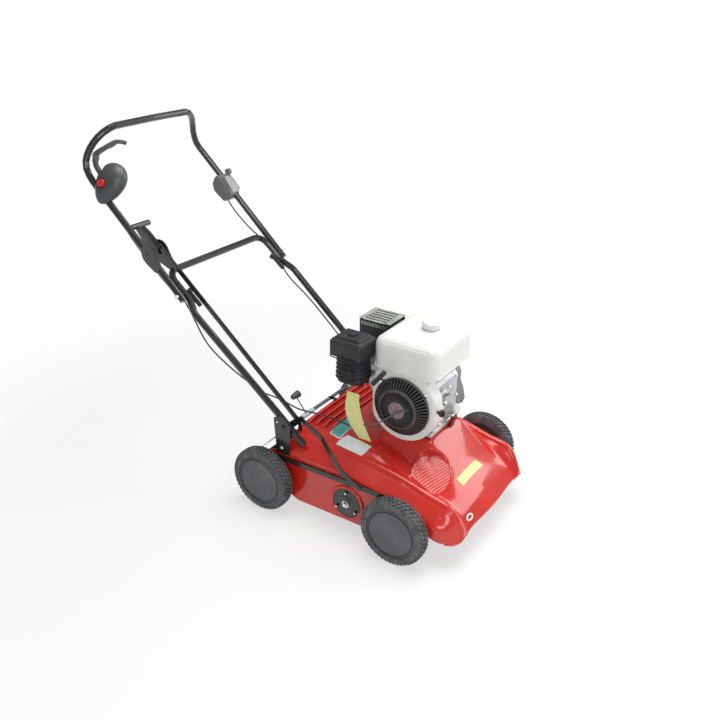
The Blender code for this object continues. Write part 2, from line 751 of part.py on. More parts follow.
def height_lever():
    pivot = (LEVER_PIVOT_Y, LEVER_PIVOT_Z)
    grip = (pivot[0] + LEVER_LENGTH * math.cos(LEVER_ANGLE),
            pivot[1] + LEVER_LENGTH * math.sin(LEVER_ANGLE))
    pin = (pivot[0] + ROD_ARM_Y, pivot[1] + ROD_ARM_Z)
    lever = prism("height_lever", capsule(pivot, grip, 0.0165, 0.0085, 6), LEVER_X0, LEVER_X1)
    arm = prism("arm", capsule(pivot, pin, 0.0160, 0.0080, 6), LEVER_X0 + 0.0001, LEVER_X1 - 0.0001)
    stud = cylinder("stud", (LEVER_X1 - 0.002, *pin), (ROD_X + ROD_T / 2 + 0.0006, *pin), PIN_R, 12)
    handle = cylinder("grip", (GRIP_X0, *grip), (GRIP_X1, *grip), 0.0095, 14)
    fuse(lever, arm, stud, handle)
    bore = cylinder("bore", (-0.26, *pivot), (-0.19, *pivot), LEVER_PIN_R + FREE, 14)
    return cut(lever, bore)


def lever_bracket():
    """Disc welded on the cross bar's bend, with the stud that the height lever turns on."""
    pivot = (LEVER_PIVOT_Y, LEVER_PIVOT_Z)
    outline = capsule((pivot[0] - 0.016, pivot[1] + 0.002), on_lower(LOWER_LENGTH), 0.040, 0.0120, 10)
    disc = prism("disc", outline, -0.2070, -0.2035)
    stud = cylinder("stud", (LEVER_X0 - 0.0035, *pivot), (-0.2050, *pivot), LEVER_PIN_R, 12)
    return [disc, stud]


def lever_quadrant():
    """Moulded guide on the outside of the upper tube, beside the height lever, with its two saddle feet."""
    x0 = -(UPPER_X + TUBE_R + FIT)
    shell = prism("lever_quadrant", capsule((0.812, 0.776), (0.791, 0.737), 0.0385, 0.0170, 10),
                  x0 - 0.0030, x0)
    boss = prism("boss", arc((0.812, 0.776), 0.0290, 0, 360, 16)[:-1], x0 - 0.0042, x0 - 0.0025)
    bolt = cylinder("bolt", (x0 - 0.0060, 0.825, 0.777), (x0 - 0.0020, 0.825, 0.777), 0.0045, 6)
    feet = []
    for low, high in ((0.118, 0.132), (0.160, 0.174)):
        outline = [on_upper(d, h) for d, h in ((low, -0.0145), (high, -0.0145), (high, 0.0145),
                                               (low, 0.0145))]
        feet.append(prism("foot", outline, x0 - 0.0010, -(UPPER_X - 0.0060)))
    fuse(shell, boss, bolt, *feet)
    start, end = on_upper(0.08), on_upper(0.22)
    return cut(shell, tube("passage", ((-UPPER_X, *start), (-UPPER_X, *end)), TUBE_R + FIT, 14))


# Handle


def handle_bolt_hole(x):
    return cylinder("hole", (x - 0.02, FOLD_Y, FOLD_Z), (x + 0.02, FOLD_Y, FOLD_Z), PIN_R + FIT, 12)


def lower_half():
    """Right half of the U-shaped lower tube: foot, slanting leg, joggle to the neck and the top corner."""
    points = ((FOOT_X, *on_lower(0.0)), (FOOT_X, *on_lower(0.125)), (KNEE_X, *on_lower(0.555)),
              (NECK_X, *on_lower(0.603)), (NECK_X, *on_lower(LOWER_LENGTH)), (0.0, *on_lower(LOWER_LENGTH)))
    start = rounded(points[:4] + ((NECK_X, *on_lower(0.640)),), 0.045, 2)[:-1]
    corner = rounded(((NECK_X, *on_lower(0.650)),) + points[4:], LOWER_BEND_R, 4)[1:-1]
    return start + corner


def lower_handle():
    half = lower_half()
    path = [Vector((-p.x, p.y, p.z)) for p in half] + half[::-1]
    handle = tube("lower_handle", path, TUBE_R, TUBE_SEG)
    fuse(handle, *lever_bracket())
    return cut(handle, handle_bolt_hole(-NECK_X), handle_bolt_hole(NECK_X))


def upper_path():
    """The right half of the bent upper tube, from its lower end to the middle of the top bar."""
    tail = on_upper(-UPPER_TAIL)
    last = on_upper(0.478)
    return [(UPPER_X, *tail), (UPPER_X, *last), (0.2575, 1.0850, 1.0060), (0.2530, 1.0920, 1.0320),
            (0.2440, 1.0880, 1.0590), (0.2320, 1.0760, 1.0870), (0.2140, 1.0600, 1.1130),
            (0.1900, 1.0460, 1.1320),
            (0.1630, 1.0375, 1.1420), (0.0, 1.0360, 1.1440)]


def upper_handle():
    half = upper_path()
    corner = smooth(half[1:-1], 11)
    side = [Vector(half[0])] + corner + [Vector(half[-1])]
    right = [Vector((-p.x, p.y, p.z)) for p in side]
    path = right + side[-2::-1]
    handle = tube("upper_handle", path, TUBE_R, TUBE_SEG)
    return cut(handle, handle_bolt_hole(-UPPER_X), handle_bolt_hole(UPPER_X))


def clamp_lever(side):
    """The cam lever that locks the fold bolt, lying along the lower tube."""
    name = "clamp_lever_right" if side == RIGHT else "clamp_lever_left"
    pivot = (FOLD_Y, FOLD_Z)
    tip = on_lower(FOLD_AT - 0.056)
    lever = prism(name, capsule(pivot, tip, 0.0073, 0.0065, 6),
                  side * (CLAMP_X - 0.0030), side * (CLAMP_X + 0.0050))
    n = Vector((0, -LOWER_DIR[1], LOWER_DIR[0]))
    middle = Vector((side * CLAMP_X, *pivot))
    return fuse(lever, cylinder("cam", middle - n * 0.0090, middle + n * 0.0090, CLAMP_R, 16))


# Controls


def opc_frame():
    """Centre and axes of the pear-shaped housing: its length, its width and the way it faces."""
    centre = Vector((-0.2440, 0.9980, 0.9730))
    length = Vector((0.50, -0.22, 0.80)).normalized()
    out = Vector((-0.80, -0.45, 0.40))
    out = (out - length * out.dot(length)).normalized()
    return centre, length, length.cross(out), out


def opc_housing():
    centre, length, width, out = opc_frame()
    bm = bmesh.new()
    rings, seg = 9, 16
    rows = []
    for i in range(rings + 1):
        angle = math.pi * i / rings
        along = -math.cos(angle)
        girth = math.sin(angle) * (1.0 + 0.22 * along)
        if i in (0, rings):
            rows.append([bm.verts.new(centre + length * OPC_LENGTH * along)])
            continue
        row = []
        for k in range(seg):
            turn = 2 * math.pi * k / seg
            spoke = width * OPC_WIDTH * math.cos(turn) + out * OPC_DEPTH * math.sin(turn)
            row.append(bm.verts.new(centre + length * OPC_LENGTH * along + spoke * girth))
        rows.append(row)
    for low, high in zip(rows, rows[1:]):
        for k in range(seg):
            j = (k + 1) % seg
            if len(low) == 1:
                bm.faces.new((low[0], high[k], high[j]))
            elif len(high) == 1:
                bm.faces.new((low[k], high[0], low[j]))
            else:
                bm.faces.new((low[k], high[k], high[j], low[j]))
    housing = mesh_object("opc_housing", bm)
    cut(housing, tube("passage", ((-UPPER_X, *on_upper(0.20)), (-UPPER_X, *on_upper(0.476))),
                      TUBE_R + FIT, 14))
    cut(housing, cylinder("well", button_axis(0.018), button_axis(0.060), BUTTON_R + FREE, 16))
    x, y, z = opc_pivot()
    mouth = box("mouth", (x - 0.0112, y - 0.0150, z - 0.0130), (x + 0.0112, y + 0.045, z + 0.060))
    pin = cylinder("pin", (x - 0.0140, y, z), (x + 0.0140, y, z), 0.0030 + FREE, 10)
    return cut(housing, mouth, pin)


def opc_pivot():
    """Pin of the squeeze lever, inside the housing."""
    return (-0.2460, 1.0300, 0.9980)


def button_axis(distance):
    centre, length, width, out = opc_frame()
    return centre - length * 0.010 - width * 0.016 + out * distance


def stop_button():
    return cylinder("stop_button", button_axis(0.0230), button_axis(0.0330), BUTTON_R, 16)


def opc_lever():
    """The plastic squeeze lever; it follows the handle's bend and thins towards its tip."""
    path = smooth((opc_pivot(), (-0.2500, 1.0440, 1.0220), (-0.2480, 1.0520, 1.0420),
                   (-0.2400, 1.0460, 1.0660),
                   (-0.2150, 1.0300, 1.0820), (-0.1800, 1.0180, 1.0960), (-0.1500, 1.0080, 1.0880)), 12)
    bm = bmesh.new()
    add_tube(bm, path, 0.0095, 10, taper=lambda share: 1.0 - 0.4 * max(0.0, share - 0.3))
    x, y, z = opc_pivot()
    return fuse(mesh_object("opc_lever", bm), cylinder("pin", (x - 0.0135, y, z), (x + 0.0135, y, z),
                                                       0.0030, 10))


def throttle_box():
    y, z = on_upper(THROTTLE_AT)
    t = UPPER_DIR
    n = (-UPPER_DIR[1], UPPER_DIR[0])

    def at(d, s):
        return (y + t[0] * d + n[0] * s, z + t[1] * d + n[1] * s)

    outline = [at(d, s) for d, s in ((-0.050, -0.016), (-0.036, -0.038), (0.018, -0.044), (0.042, -0.028),
                                     (0.050, 0.004), (0.040, 0.017), (-0.040, 0.017), (-0.050, 0.006))]
    bm = bmesh.new()
    add_prism(bm, outline, THROTTLE_X0, THROTTLE_X1)
    bmesh.ops.bevel(bm, geom=list(bm.edges), offset=0.005, segments=1, profile=0.5, affect="EDGES")
    housing = mesh_object("throttle_box", bm)
    start, end = on_upper(THROTTLE_AT - 0.08), on_upper(THROTTLE_AT + 0.08)
    passage = tube("passage", ((UPPER_X, *start), (UPPER_X, *end)), TUBE_R + FIT, 14)
    cut(housing, passage)
    slot = prism("slot", [at(d, s) for d, s in ((-0.030, 0.002), (0.032, 0.002), (0.032, 0.030),
                                                (-0.030, 0.030))],
                 THROTTLE_SLOT - 0.0020, THROTTLE_SLOT + 0.0020)
    return cut(housing, slot)


def throttle_pivot():
    return on_upper(THROTTLE_AT, 0.0070)


def throttle_lever():
    pivot = throttle_pivot()
    tip = (pivot[0] - 0.044 * math.sin(UPPER_ANGLE), pivot[1] + 0.044 * math.cos(UPPER_ANGLE))
    lever = prism("throttle_lever", capsule(pivot, tip, 0.0035, 0.0055, 6),
                  THROTTLE_SLOT - 0.0015, THROTTLE_SLOT + 0.0015)
    knob = cylinder("knob", (THROTTLE_SLOT - 0.006, *tip), (THROTTLE_SLOT + 0.006, *tip), 0.0085, 12)
    return fuse(lever, knob)


# Rotor and belt drive


def rotor_shaft():
    """Shaft with a washer and a hexagon head outside each bearing."""
    y, z = ROTOR_Y, ROTOR_Z
    end = SIDE_X + FLANGE_T + 0.0012
    shaft = lathe("rotor_shaft", ((-end - 0.002, 0.0), (-end - 0.002, 0.015), (-end, 0.015),
                                  (-end, ROTOR_SHAFT_R),
                                  (end, ROTOR_SHAFT_R), (end, 0.015), (end + 0.002, 0.015),
                                  (end + 0.002, 0.0)),
                  (1, 0, 0), (0, y, z), 16)
    heads = [cylinder("head", (side * (end + 0.0010), y, z), (side * (end + 0.0070), y, z), 0.0080, 6)
             for side in (RIGHT, LEFT)]
    return fuse(shaft, *heads)


def tines():
    """Star blades with four hooked teeth each, turned from one to the next, on bosses that space them."""
    pitch = (TINE_TO_X - TINE_FROM_X) / (TINE_COUNT - 1)
    end = TINE_TO_X + TINE_T + 0.004
    stack = cylinder("tines", (TINE_FROM_X - 0.004, ROTOR_Y, ROTOR_Z), (end, ROTOR_Y, ROTOR_Z),
                     TINE_BOSS_R, 12)
    for number in range(TINE_COUNT):
        x = TINE_FROM_X + number * pitch
        turn = 2 * math.pi * number / (4 * TINE_SPIRAL)
        outline = []
        for tooth in range(4):
            base = turn + math.pi / 2 * tooth
            for lean, radius in ((-0.52, 0.031), (-0.14, TINE_R - 0.010), (0.05, TINE_R), (0.26, 0.046)):
                outline.append((ROTOR_Y + radius * math.cos(base + lean),
                                ROTOR_Z + radius * math.sin(base + lean)))
        fuse(stack, prism("blade", outline, x, x + TINE_T))
    return cut(stack, cylinder("bore", (-0.3, ROTOR_Y, ROTOR_Z), (0.3, ROTOR_Y, ROTOR_Z),
                               ROTOR_SHAFT_R + FIT, 16))


def bearing_flange(side):
    """Cast flange that carries the rotor's end, with its three bolts."""
    word = "right" if side == RIGHT else "left"
    bore = ROTOR_SHAFT_R + FREE
    profile = ((-0.0085, bore), (-0.0085, 0.0290), (FIT, 0.0290), (FIT, FLANGE_R),
               (FLANGE_T * 0.6, FLANGE_R),
               (FLANGE_T * 0.75, 0.030), (FLANGE_T, 0.026), (FLANGE_T, bore))
    flange = lathe("bearing_flange_" + word, profile, (side, 0, 0), (side * SIDE_X, ROTOR_Y, ROTOR_Z), 18,
                   ring=True)
    bolts = []
    for k in range(3):
        angle = math.radians(90 + 120 * k)
        y = ROTOR_Y + 0.040 * math.cos(angle)
        z = ROTOR_Z + 0.040 * math.sin(angle)
        start = (side * (SIDE_X + FLANGE_T * 0.5), y, z)
        end = (side * (SIDE_X + FLANGE_T + 0.002), y, z)
        bolts.append(cylinder("bolt", start, end, 0.0050, 6))
    return fuse(flange, *bolts)


def pulley(name, y, z, radius, bore, seg=18):
    """A V-belt pulley whose rims stand just clear of the belt's sides."""
    w = BELT_W / 2
    profile = ((-w - 0.004, bore), (-w - 0.004, radius + 0.004), (-w - 0.0016, radius + 0.004),
               (-w + 0.001, radius - FIT),
               (w - 0.001, radius - FIT), (w + 0.0016, radius + 0.004), (w + 0.004, radius + 0.004),
               (w + 0.004, bore))
    return lathe(name, profile, (1, 0, 0), (BELT_X, y, z), seg, ring=True)


def belt_outline(growth):
    """Outline of the belt's run round both pulleys, grown by a distance."""
    return capsule((CRANK_Y, CRANK_Z), (ROTOR_Y, ROTOR_Z), DRIVE_R + growth, DRIVEN_R + growth, 10)


def drive_belt():
    inner = belt_outline(0.0004)
    outer = belt_outline(0.0004 + BELT_T)
    w = BELT_W / 2 - 0.0012
    bm = bmesh.new()
    layers = []
    for points, x in ((inner, BELT_X - w), (outer, BELT_X - w), (outer, BELT_X + w), (inner, BELT_X + w)):
        layers.append([bm.verts.new((x, y, z)) for y, z in points])
    count = len(inner)
    for low, high in zip(layers, layers[1:] + layers[:1]):
        for k in range(count):
            j = (k + 1) % count
            bm.faces.new((low[k], low[j], high[j], high[k]))
    return mesh_object("drive_belt", bm)


def belt_guard():
    """A grey cover round the drive pulley, open below, whose rim stands on the engine's bearing cover."""
    edge = ((-0.108, 0.413), (-0.119, 0.390), (-0.128, 0.350), (-0.120, 0.329), (0.075, 0.300))

    def outline(grow):
        bottom = [(y + grow, z) for y, z in edge[:3]] + [(y, z - grow * 8) for y, z in edge[3:]]
        bottom[-1] = (bottom[-1][0] - grow * 1.4, bottom[-1][1])
        return arc((CRANK_Y, CRANK_Z), GUARD_R - grow, 0, 165, 15) + bottom

    guard = prism("belt_guard", outline(0.0), GUARD_X0, GUARD_X1)
    hollow = prism("hollow", outline(GUARD_T), GUARD_X0 - 0.01, GUARD_X1 - GUARD_T)
    cut(guard, hollow)
    return guard


# Engine


def crankshaft():
    """The shaft from the recoil side to the belt side, with the finned flywheel on it."""
    end = BELT_X + BELT_W / 2 + 0.006
    start = -0.128
    shaft = cylinder("crankshaft", (start, CRANK_Y, CRANK_Z), (end, CRANK_Y, CRANK_Z), CRANK_R, 16)

    def fin(spoke, number):
        return -0.010 if spoke % 2 and number in (1, 2) else 0.0

    flywheel = lathe("flywheel", ((-0.010, 0.0), (-0.010, 0.080), (-0.002, 0.080), (0.0, 0.086),
                                  (0.010, 0.086),
                                  (0.010, 0.0)), (1, 0, 0), (-0.112, CRANK_Y, CRANK_Z), 18, wave=fin)
    return fuse(shaft, flywheel)


def recoil_cover():
    """The domed starter cover, slotted all round its face and its flank."""
    depth = RECOIL_DEPTH
    seg = RECOIL_SLOTS * 2
    groove = 0.0030

    bm = bmesh.new()
    profile = ((depth, 0.0), (depth, 0.0260), (depth - 0.0010, 0.0285), (depth - 0.0015, 0.0560),
               (depth - 0.0045, 0.0600),
               (depth - 0.0075, 0.0635), (depth * 0.42, 0.0855), (depth * 0.25, RECOIL_R), (0.0, RECOIL_R),
               (0.0, RECOIL_R - 0.003), (depth * 0.35, 0.0810), (depth - 0.011, 0.058),
               (depth - 0.011, 0.0))
    slotted = (2, 3, 5, 6)
    along = Vector((-1, 0, 0))
    _, side, up = frame_of(along)
    base = Vector((RECOIL_X + depth, CRANK_Y, CRANK_Z))
    rows = []
    for number, (distance, radius) in enumerate(profile):
        if radius == 0.0:
            rows.append([bm.verts.new(base + along * distance)])
            continue
        row = []
        for spoke in range(seg):
            angle = 2 * math.pi * spoke / seg
            low = spoke % 2 and number in slotted
            reach = radius - (groove if low and number > 4 else 0.0)
            drop = groove * 0.7 if low else 0.0
            row.append(bm.verts.new(base + along * (distance - drop)
                                    + (side * math.cos(angle) + up * math.sin(angle)) * reach))
        rows.append(row)
    for a, b in zip(rows, rows[1:]):
        for k in range(seg):
            j = (k + 1) % seg
            if len(a) == 1:
                bm.faces.new((a[0], b[k], b[j]))
            elif len(b) == 1:
                bm.faces.new((a[k], b[0], a[j]))
            else:
                bm.faces.new((a[k], b[k], b[j], a[j]))
    return mesh_object("recoil_cover", bm)


def blower_outline(grow):
    """White housing seen from the recoil side: a scroll with a flat shoulder under the tank."""
    r = BLOWER_R - grow
    top = TANK_Z - FREE - grow
    return (arc((CRANK_Y, CRANK_Z), r, 180, 338, 16)
            + [(CRANK_Y + r * 0.94, CRANK_Z + 0.040), (CRANK_Y + 0.098 - grow, top - 0.012),
               (CRANK_Y + 0.086 - grow, top), (CRANK_Y - 0.070 + grow, top),
               (CRANK_Y - 0.084 + grow, top - 0.012),
               (CRANK_Y - r * 0.96, CRANK_Z + 0.045)])


def blower_housing():
    """A cup over the flywheel with a round mouth that the recoil cover closes."""
    back = -0.085
    front = RECOIL_X + RECOIL_DEPTH + FIT
    bm = bmesh.new()
    add_prism(bm, blower_outline(0.0), front, back)
    rim_edges = [e for e in bm.edges if all(abs(v.co.x - front) < 1e-6 for v in e.verts)]
    bmesh.ops.bevel(bm, geom=rim_edges, offset=0.007, segments=2, profile=0.5, affect="EDGES")
    housing = mesh_object("blower_housing", bm)
    hollow = prism("hollow", blower_outline(0.003), front + 0.003, back + 0.01)
    mouth = cylinder("mouth", (front - 0.01, CRANK_Y, CRANK_Z), (front + 0.01, CRANK_Y, CRANK_Z), 0.078, 32)
    return cut(housing, hollow, mouth)


def crankcase():
    """Cast case with its bearing cover, feet and a boss for the oil filler."""
    case = box("crankcase", (-0.0840, CRANK_Y - 0.078, FOOT_Z + 0.010),
               (CASE_LEFT, CRANK_Y + CASE_REAR, 0.486), 0.010, 1)
    foot = box("foot", (-0.0840, CRANK_Y - 0.080, FOOT_Z), (0.088, CRANK_Y + 0.080, FOOT_Z + 0.016),
               0.003, 1)
    cover = lathe("cover", ((0.0, 0.0), (0.0, 0.066), (0.012, 0.062), (0.018, 0.034), (0.030, 0.026),
                            (0.030, 0.0)),
                  (1, 0, 0), (0.084, CRANK_Y, CRANK_Z), 20)
    filler = cylinder("filler", (0.040, CRANK_Y - 0.060, FOOT_Z + 0.038),
                      (0.040, CRANK_Y - 0.094, FOOT_Z + 0.052),
                      0.0150, 14)
    fuse(case, foot, cover, filler)
    shaft_way = cylinder("way", (-0.2, CRANK_Y, CRANK_Z), (0.2, CRANK_Y, CRANK_Z), CRANK_R + FREE, 20)
    mouth = cylinder("mouth", (0.040, CRANK_Y - 0.084, FOOT_Z + 0.0479),
                     (0.040, CRANK_Y - 0.1115, FOOT_Z + 0.0592),
                     0.0105, 14)
    return cut(case, shaft_way, mouth)


def oil_cap():
    start = Vector((0.040, CRANK_Y - 0.0860, FOOT_Z + 0.04871))
    axis = Vector((0, -0.925, 0.381)).normalized()
    profile = ((0.0, 0.0), (0.0, 0.0098), (0.0092, 0.0098), (0.0092, 0.0170), (0.0130, 0.0185),
               (0.0180, 0.0175),
               (0.0200, 0.0140), (0.0200, 0.0))
    return lathe("oil_cap", profile, axis, start, 14)


def head_point(distance, lift):
    """(y, z) of a point along the leaning cylinder's axis, lifted square to it."""
    return (CRANK_Y + CASE_REAR + 0.002 + distance * math.cos(CYL_TILT) - lift * math.sin(CYL_TILT),
            CRANK_Z + 0.025 + distance * math.sin(CYL_TILT) + lift * math.cos(CYL_TILT))


def cylinder_head():
    """Finned barrel and head, leaning back from the crankcase; the rocker cover closes its end."""
    outline = [(-0.022, -0.040)]
    for i in range(7):
        d = 0.006 + i * 0.0105
        outline += [(d, -0.047), (d + 0.004, -0.047), (d + 0.004, -0.040), (d + 0.0105, -0.040)]
    outline += [(0.088, -0.040), (0.114, -0.036), (0.118, -0.030), (0.118, 0.030), (0.114, 0.036),
                (0.088, 0.040)]
    for i in reversed(range(7)):
        d = 0.006 + i * 0.0105
        outline += [(d + 0.0105, 0.040), (d + 0.004, 0.040), (d + 0.004, 0.047), (d, 0.047)]
    outline.append((-0.022, 0.040))
    head = prism("cylinder_head", [head_point(d, s) for d, s in outline], -0.050, 0.050)
    case = box("case", (-0.2, -0.2, 0.3), (0.2, CRANK_Y + CASE_REAR + FIT, 0.7))
    return cut(head, case)


def carburettor():
    y, z = CRANK_Y + 0.135, CRANK_Z + 0.034
    body = box("carburettor", (-0.0902, y - 0.018, z - 0.002), (-0.0505, y + 0.042, z + 0.034), 0.004, 1)
    bowl = lathe("bowl", ((-0.0300, 0.0), (-0.0300, 0.0150), (0.004, 0.0170), (0.004, 0.0)),
                 (0, 0, 1), (-0.072, y, z), 14)
    return fuse(body, bowl)


def air_cleaner_base():
    """The ribbed drum under the air cleaner."""
    profile = [(0.0, 0.0), (0.0, 0.034)]
    z = 0.004
    for _ in range(4):
        profile += [(z, 0.0445), (z + 0.009, 0.0445), (z + 0.010, 0.0405), (z + 0.014, 0.0405)]
        z += 0.0155
    profile += [(0.082, 0.0440), (0.0862, 0.0440), (0.0862, 0.0)]
    return lathe("air_cleaner_base", profile, (0, 0, 1), (-0.1350, 0.1130, 0.4660), 18)


def air_cleaner_cover():
    """Black moulded cover with rounded corners and a low dished lid."""
    low, high = (-0.1840, 0.0610, 0.5530), (-0.0840, 0.1780, 0.6130)
    cover = box("air_cleaner_cover", low, high, 0.014, 3)
    lid = box("lid", (low[0] + 0.014, low[1] + 0.014, high[2] - 0.004),
              (high[0] - 0.014, high[1] - 0.014, high[2] + 0.007), 0.004, 1)
    return fuse(cover, lid)


def muffler_box():
    """Low and high corners of the silencer."""
    return (0.008, 0.074, 0.5360), (0.090, 0.183, 0.6060)


def muffler():
    low, high = muffler_box()
    body = box("muffler", low, high, 0.012, 2)
    port = cylinder("port", (0.034, 0.1180, 0.5000), (0.034, 0.1180, 0.5400), 0.0110, 14)
    outlet = cylinder("outlet", (high[0] - 0.006, 0.150, 0.570), (high[0] + 0.008, 0.150, 0.570), 0.0085, 12)
    fuse(body, port, outlet)
    half, end = 0.0403, 0.1184
    head = prism("head", [head_point(d, s) for d, s in ((-0.02, -half), (end, -half), (end, half),
                                                        (-0.02, half))],
                 -0.06, 0.06)
    return cut(body, head)


def muffler_guard():
    """Louvred sheet cover over the silencer."""
    low, high = muffler_box()
    gap = 0.0045
    wall = 0.0018
    outer = box("muffler_guard", (low[0] - gap - wall, low[1] - 0.002, low[2] + 0.010),
                (high[0] + gap + wall + 0.006, high[1] + gap + wall, high[2] + gap + wall), 0.006, 1)
    hollow = box("hollow", (low[0] - gap, low[1] - 0.02, low[2] - 0.02),
                 (high[0] + gap + 0.006, high[1] + gap, high[2] + gap), 0.005, 1)
    cut(outer, hollow)
    slots = []
    for i in range(7):
        x = low[0] + 0.006 + i * 0.0135
        slots.append(box("slot", (x, high[1] - 0.01, low[2] + 0.022),
                         (x + 0.006, high[1] + 0.02, high[2] - 0.010)))
    for i in range(5):
        x = low[0] + 0.010 + i * 0.0180
        slots.append(box("slot", (x, low[1] + 0.016, high[2] - 0.01),
                         (x + 0.007, high[1] - 0.014, high[2] + 0.02)))
    cut(outer, *slots)
    y = (low[1] + high[1]) / 2
    studs = [cylinder("stud", (x, y, high[2] + FIT), (x, y, high[2] + gap + wall + 0.003), 0.0035, 6)
             for x in (low[0] + 0.0225, low[0] + 0.0585)]
    return fuse(outer, *studs)


def fuel_tank():
    """White tank with straight sides, a rounded top and a flat flange round its foot."""
    low = (-0.128, -0.160, TANK_Z)
    high = (0.118, 0.056, TANK_TOP)
    tank = box("fuel_tank", (low[0], low[1], low[2] - 0.040), high, 0.030, 4)
    cut(tank, box("below", (-0.3, -0.4, 0.3), (0.3, 0.3, low[2])))
    flange = bmesh.new()
    reach = 0.004
    add_box(flange, (low[0] - reach, low[1] - reach, low[2]),
            (high[0] + reach, high[1] + reach, low[2] + 0.004))
    corners = [e for e in flange.edges if abs(e.verts[0].co.z - e.verts[1].co.z) > 0.001]
    bmesh.ops.bevel(flange, geom=corners, offset=0.034, segments=4, profile=0.5, affect="EDGES")
    rim = mesh_object("flange", flange)
    neck = cylinder("neck", (*CAP_AT, TANK_TOP - 0.004), (*CAP_AT, TANK_TOP + 0.006), 0.022, 20)
    legs = [box("leg", (x - 0.012, y - 0.010, 0.4865), (x + 0.012, y + 0.010, TANK_Z + 0.006))
            for x, y in ((-0.050, -0.105), (0.055, -0.105), (-0.050, -0.005), (0.055, -0.005))]
    return fuse(tank, rim, neck, *legs)


def fuel_cap():
    start = (*CAP_AT, TANK_TOP + 0.006 + FIT)
    profile = ((0.0, 0.0), (0.0, 0.0270), (0.002, 0.0285), (0.014, 0.0285), (0.018, 0.0240), (0.018, 0.0))

    def knurl(spoke, number):
        return -0.0012 if spoke % 2 and number in (2, 3) else 0.0

    return lathe("fuel_cap", profile, (0, 0, 1), start, 32, wave=knurl)


def stop_switch():
    """Rotary engine switch standing out of the blower housing's front."""
    start = (-0.118, CRANK_Y - BLOWER_R + 0.0002, CRANK_Z + 0.010)
    profile = ((0.0, 0.0), (0.0, 0.0050), (0.010, 0.0050), (0.010, 0.0115), (0.018, 0.0105), (0.018, 0.0))
    knob = lathe("stop_switch", profile, (0, -1, 0), start, 16)
    vane = box("vane", (start[0] - 0.002, start[1] - 0.0240, start[2] - 0.0090),
               (start[0] + 0.002, start[1] - 0.0160, start[2] + 0.0090))
    return fuse(knob, vane)


def grip_axis():
    """The cord's way out of the recoil cover, and the direction it is pulled."""
    start = Vector((RECOIL_X + 0.012, CRANK_Y + 0.052, CRANK_Z + 0.083))
    direction = Vector((-0.45, 0.42, 0.30)).normalized()
    return start, direction


def recoil_grip():
    start, direction = grip_axis()
    head = start + direction * 0.018
    across = Vector((0.10, 0.62, -0.78))
    across = (across - direction * across.dot(direction)).normalized()
    grip = tube("recoil_grip", (head - across * 0.034, head - across * 0.028, head, head + across * 0.028,
                                head + across * 0.034), 0.0075, 12)
    rope = cylinder("rope", start - direction * 0.0141, head, 0.0028, 10)
    return fuse(grip, rope)


def hang_tag():
    """A bent blank card that leans on the deck behind the starter cover."""
    bm = bmesh.new()
    rows = []
    steps = 8
    low, high = 0.2764, 0.432
    for i in range(steps + 1):
        share = i / steps
        z = low + (high - low) * share
        bow = 0.016 * math.sin(math.pi * share)
        y0 = 0.062 + 0.046 * share + bow
        width = 0.062 * (0.74 + 0.26 * math.sin(math.pi * min(1.0, share * 1.15)))
        x = -0.150 - bow * 0.35
        row = []
        near, far = y0 - width / 2, y0 + width / 2
        for dx, y in ((0.0, near), (0.0, far), (0.0012, far), (0.0012, near)):
            row.append(bm.verts.new((x + dx, y, z)))
        rows.append(row)
    for a, b in zip(rows, rows[1:]):
        for k in range(4):
            j = (k + 1) % 4
            bm.faces.new((a[k], a[j], b[j], b[k]))
    bm.faces.new(rows[0])
    bm.faces.new(list(reversed(rows[-1])))
    return mesh_object("hang_tag", bm)


def fold_bolt(side):
    """The bolt that the handle folds on; its inner end runs in the clamp lever's cam."""
    word = "right" if side == RIGHT else "left"
    face = UPPER_X + TUBE_R + 0.0004

    def at(x):
        return (side * x, FOLD_Y, FOLD_Z)

    bolt = cylinder("fold_bolt_" + word, at(NECK_X - TUBE_R + 0.0002), at(face + 0.001), PIN_R, 12)
    return fuse(bolt, cylinder("head", at(face), at(face + 0.005), 0.0075, 6))


# Cables


def clutch_cable_points():
    """Route of the clutch cable, above and below the fold."""
    upper = [(-0.2440, *on_upper(0.345, -0.0030)), (-0.2480, *on_upper(0.318, -0.0120)),
             (-0.2580, *on_upper(0.285, -0.0165)), (-UPPER_X, *on_upper(0.220, -0.0180)),
             (-UPPER_X, *on_upper(0.145, -0.0180)),
             (-UPPER_X, *on_upper(0.060, -0.0155)), (-0.2525, *on_upper(0.008, -0.0120))]
    lower = [(-0.2462, *on_lower(FOLD_AT - 0.004, -0.0110)), (-0.2480, *on_lower(FOLD_AT - 0.060, -0.0230)),
             (-0.2600, *on_lower(FOLD_AT - 0.170, -0.0420)), (-0.2590, *on_lower(FOLD_AT - 0.270, -0.0320)),
             (-0.2420, *on_lower(FOLD_AT - 0.360, -0.0230)), (-0.2180, *on_lower(FOLD_AT - 0.410, -0.0270)),
             (-0.1960, 0.3600, 0.3520), (-0.1860, 0.3000, 0.3320), (-0.1700, 0.2500, 0.3250),
             (-0.1500, 0.2000, 0.3160), (-0.1470, 0.1250, 0.3080)]
    return upper, lower


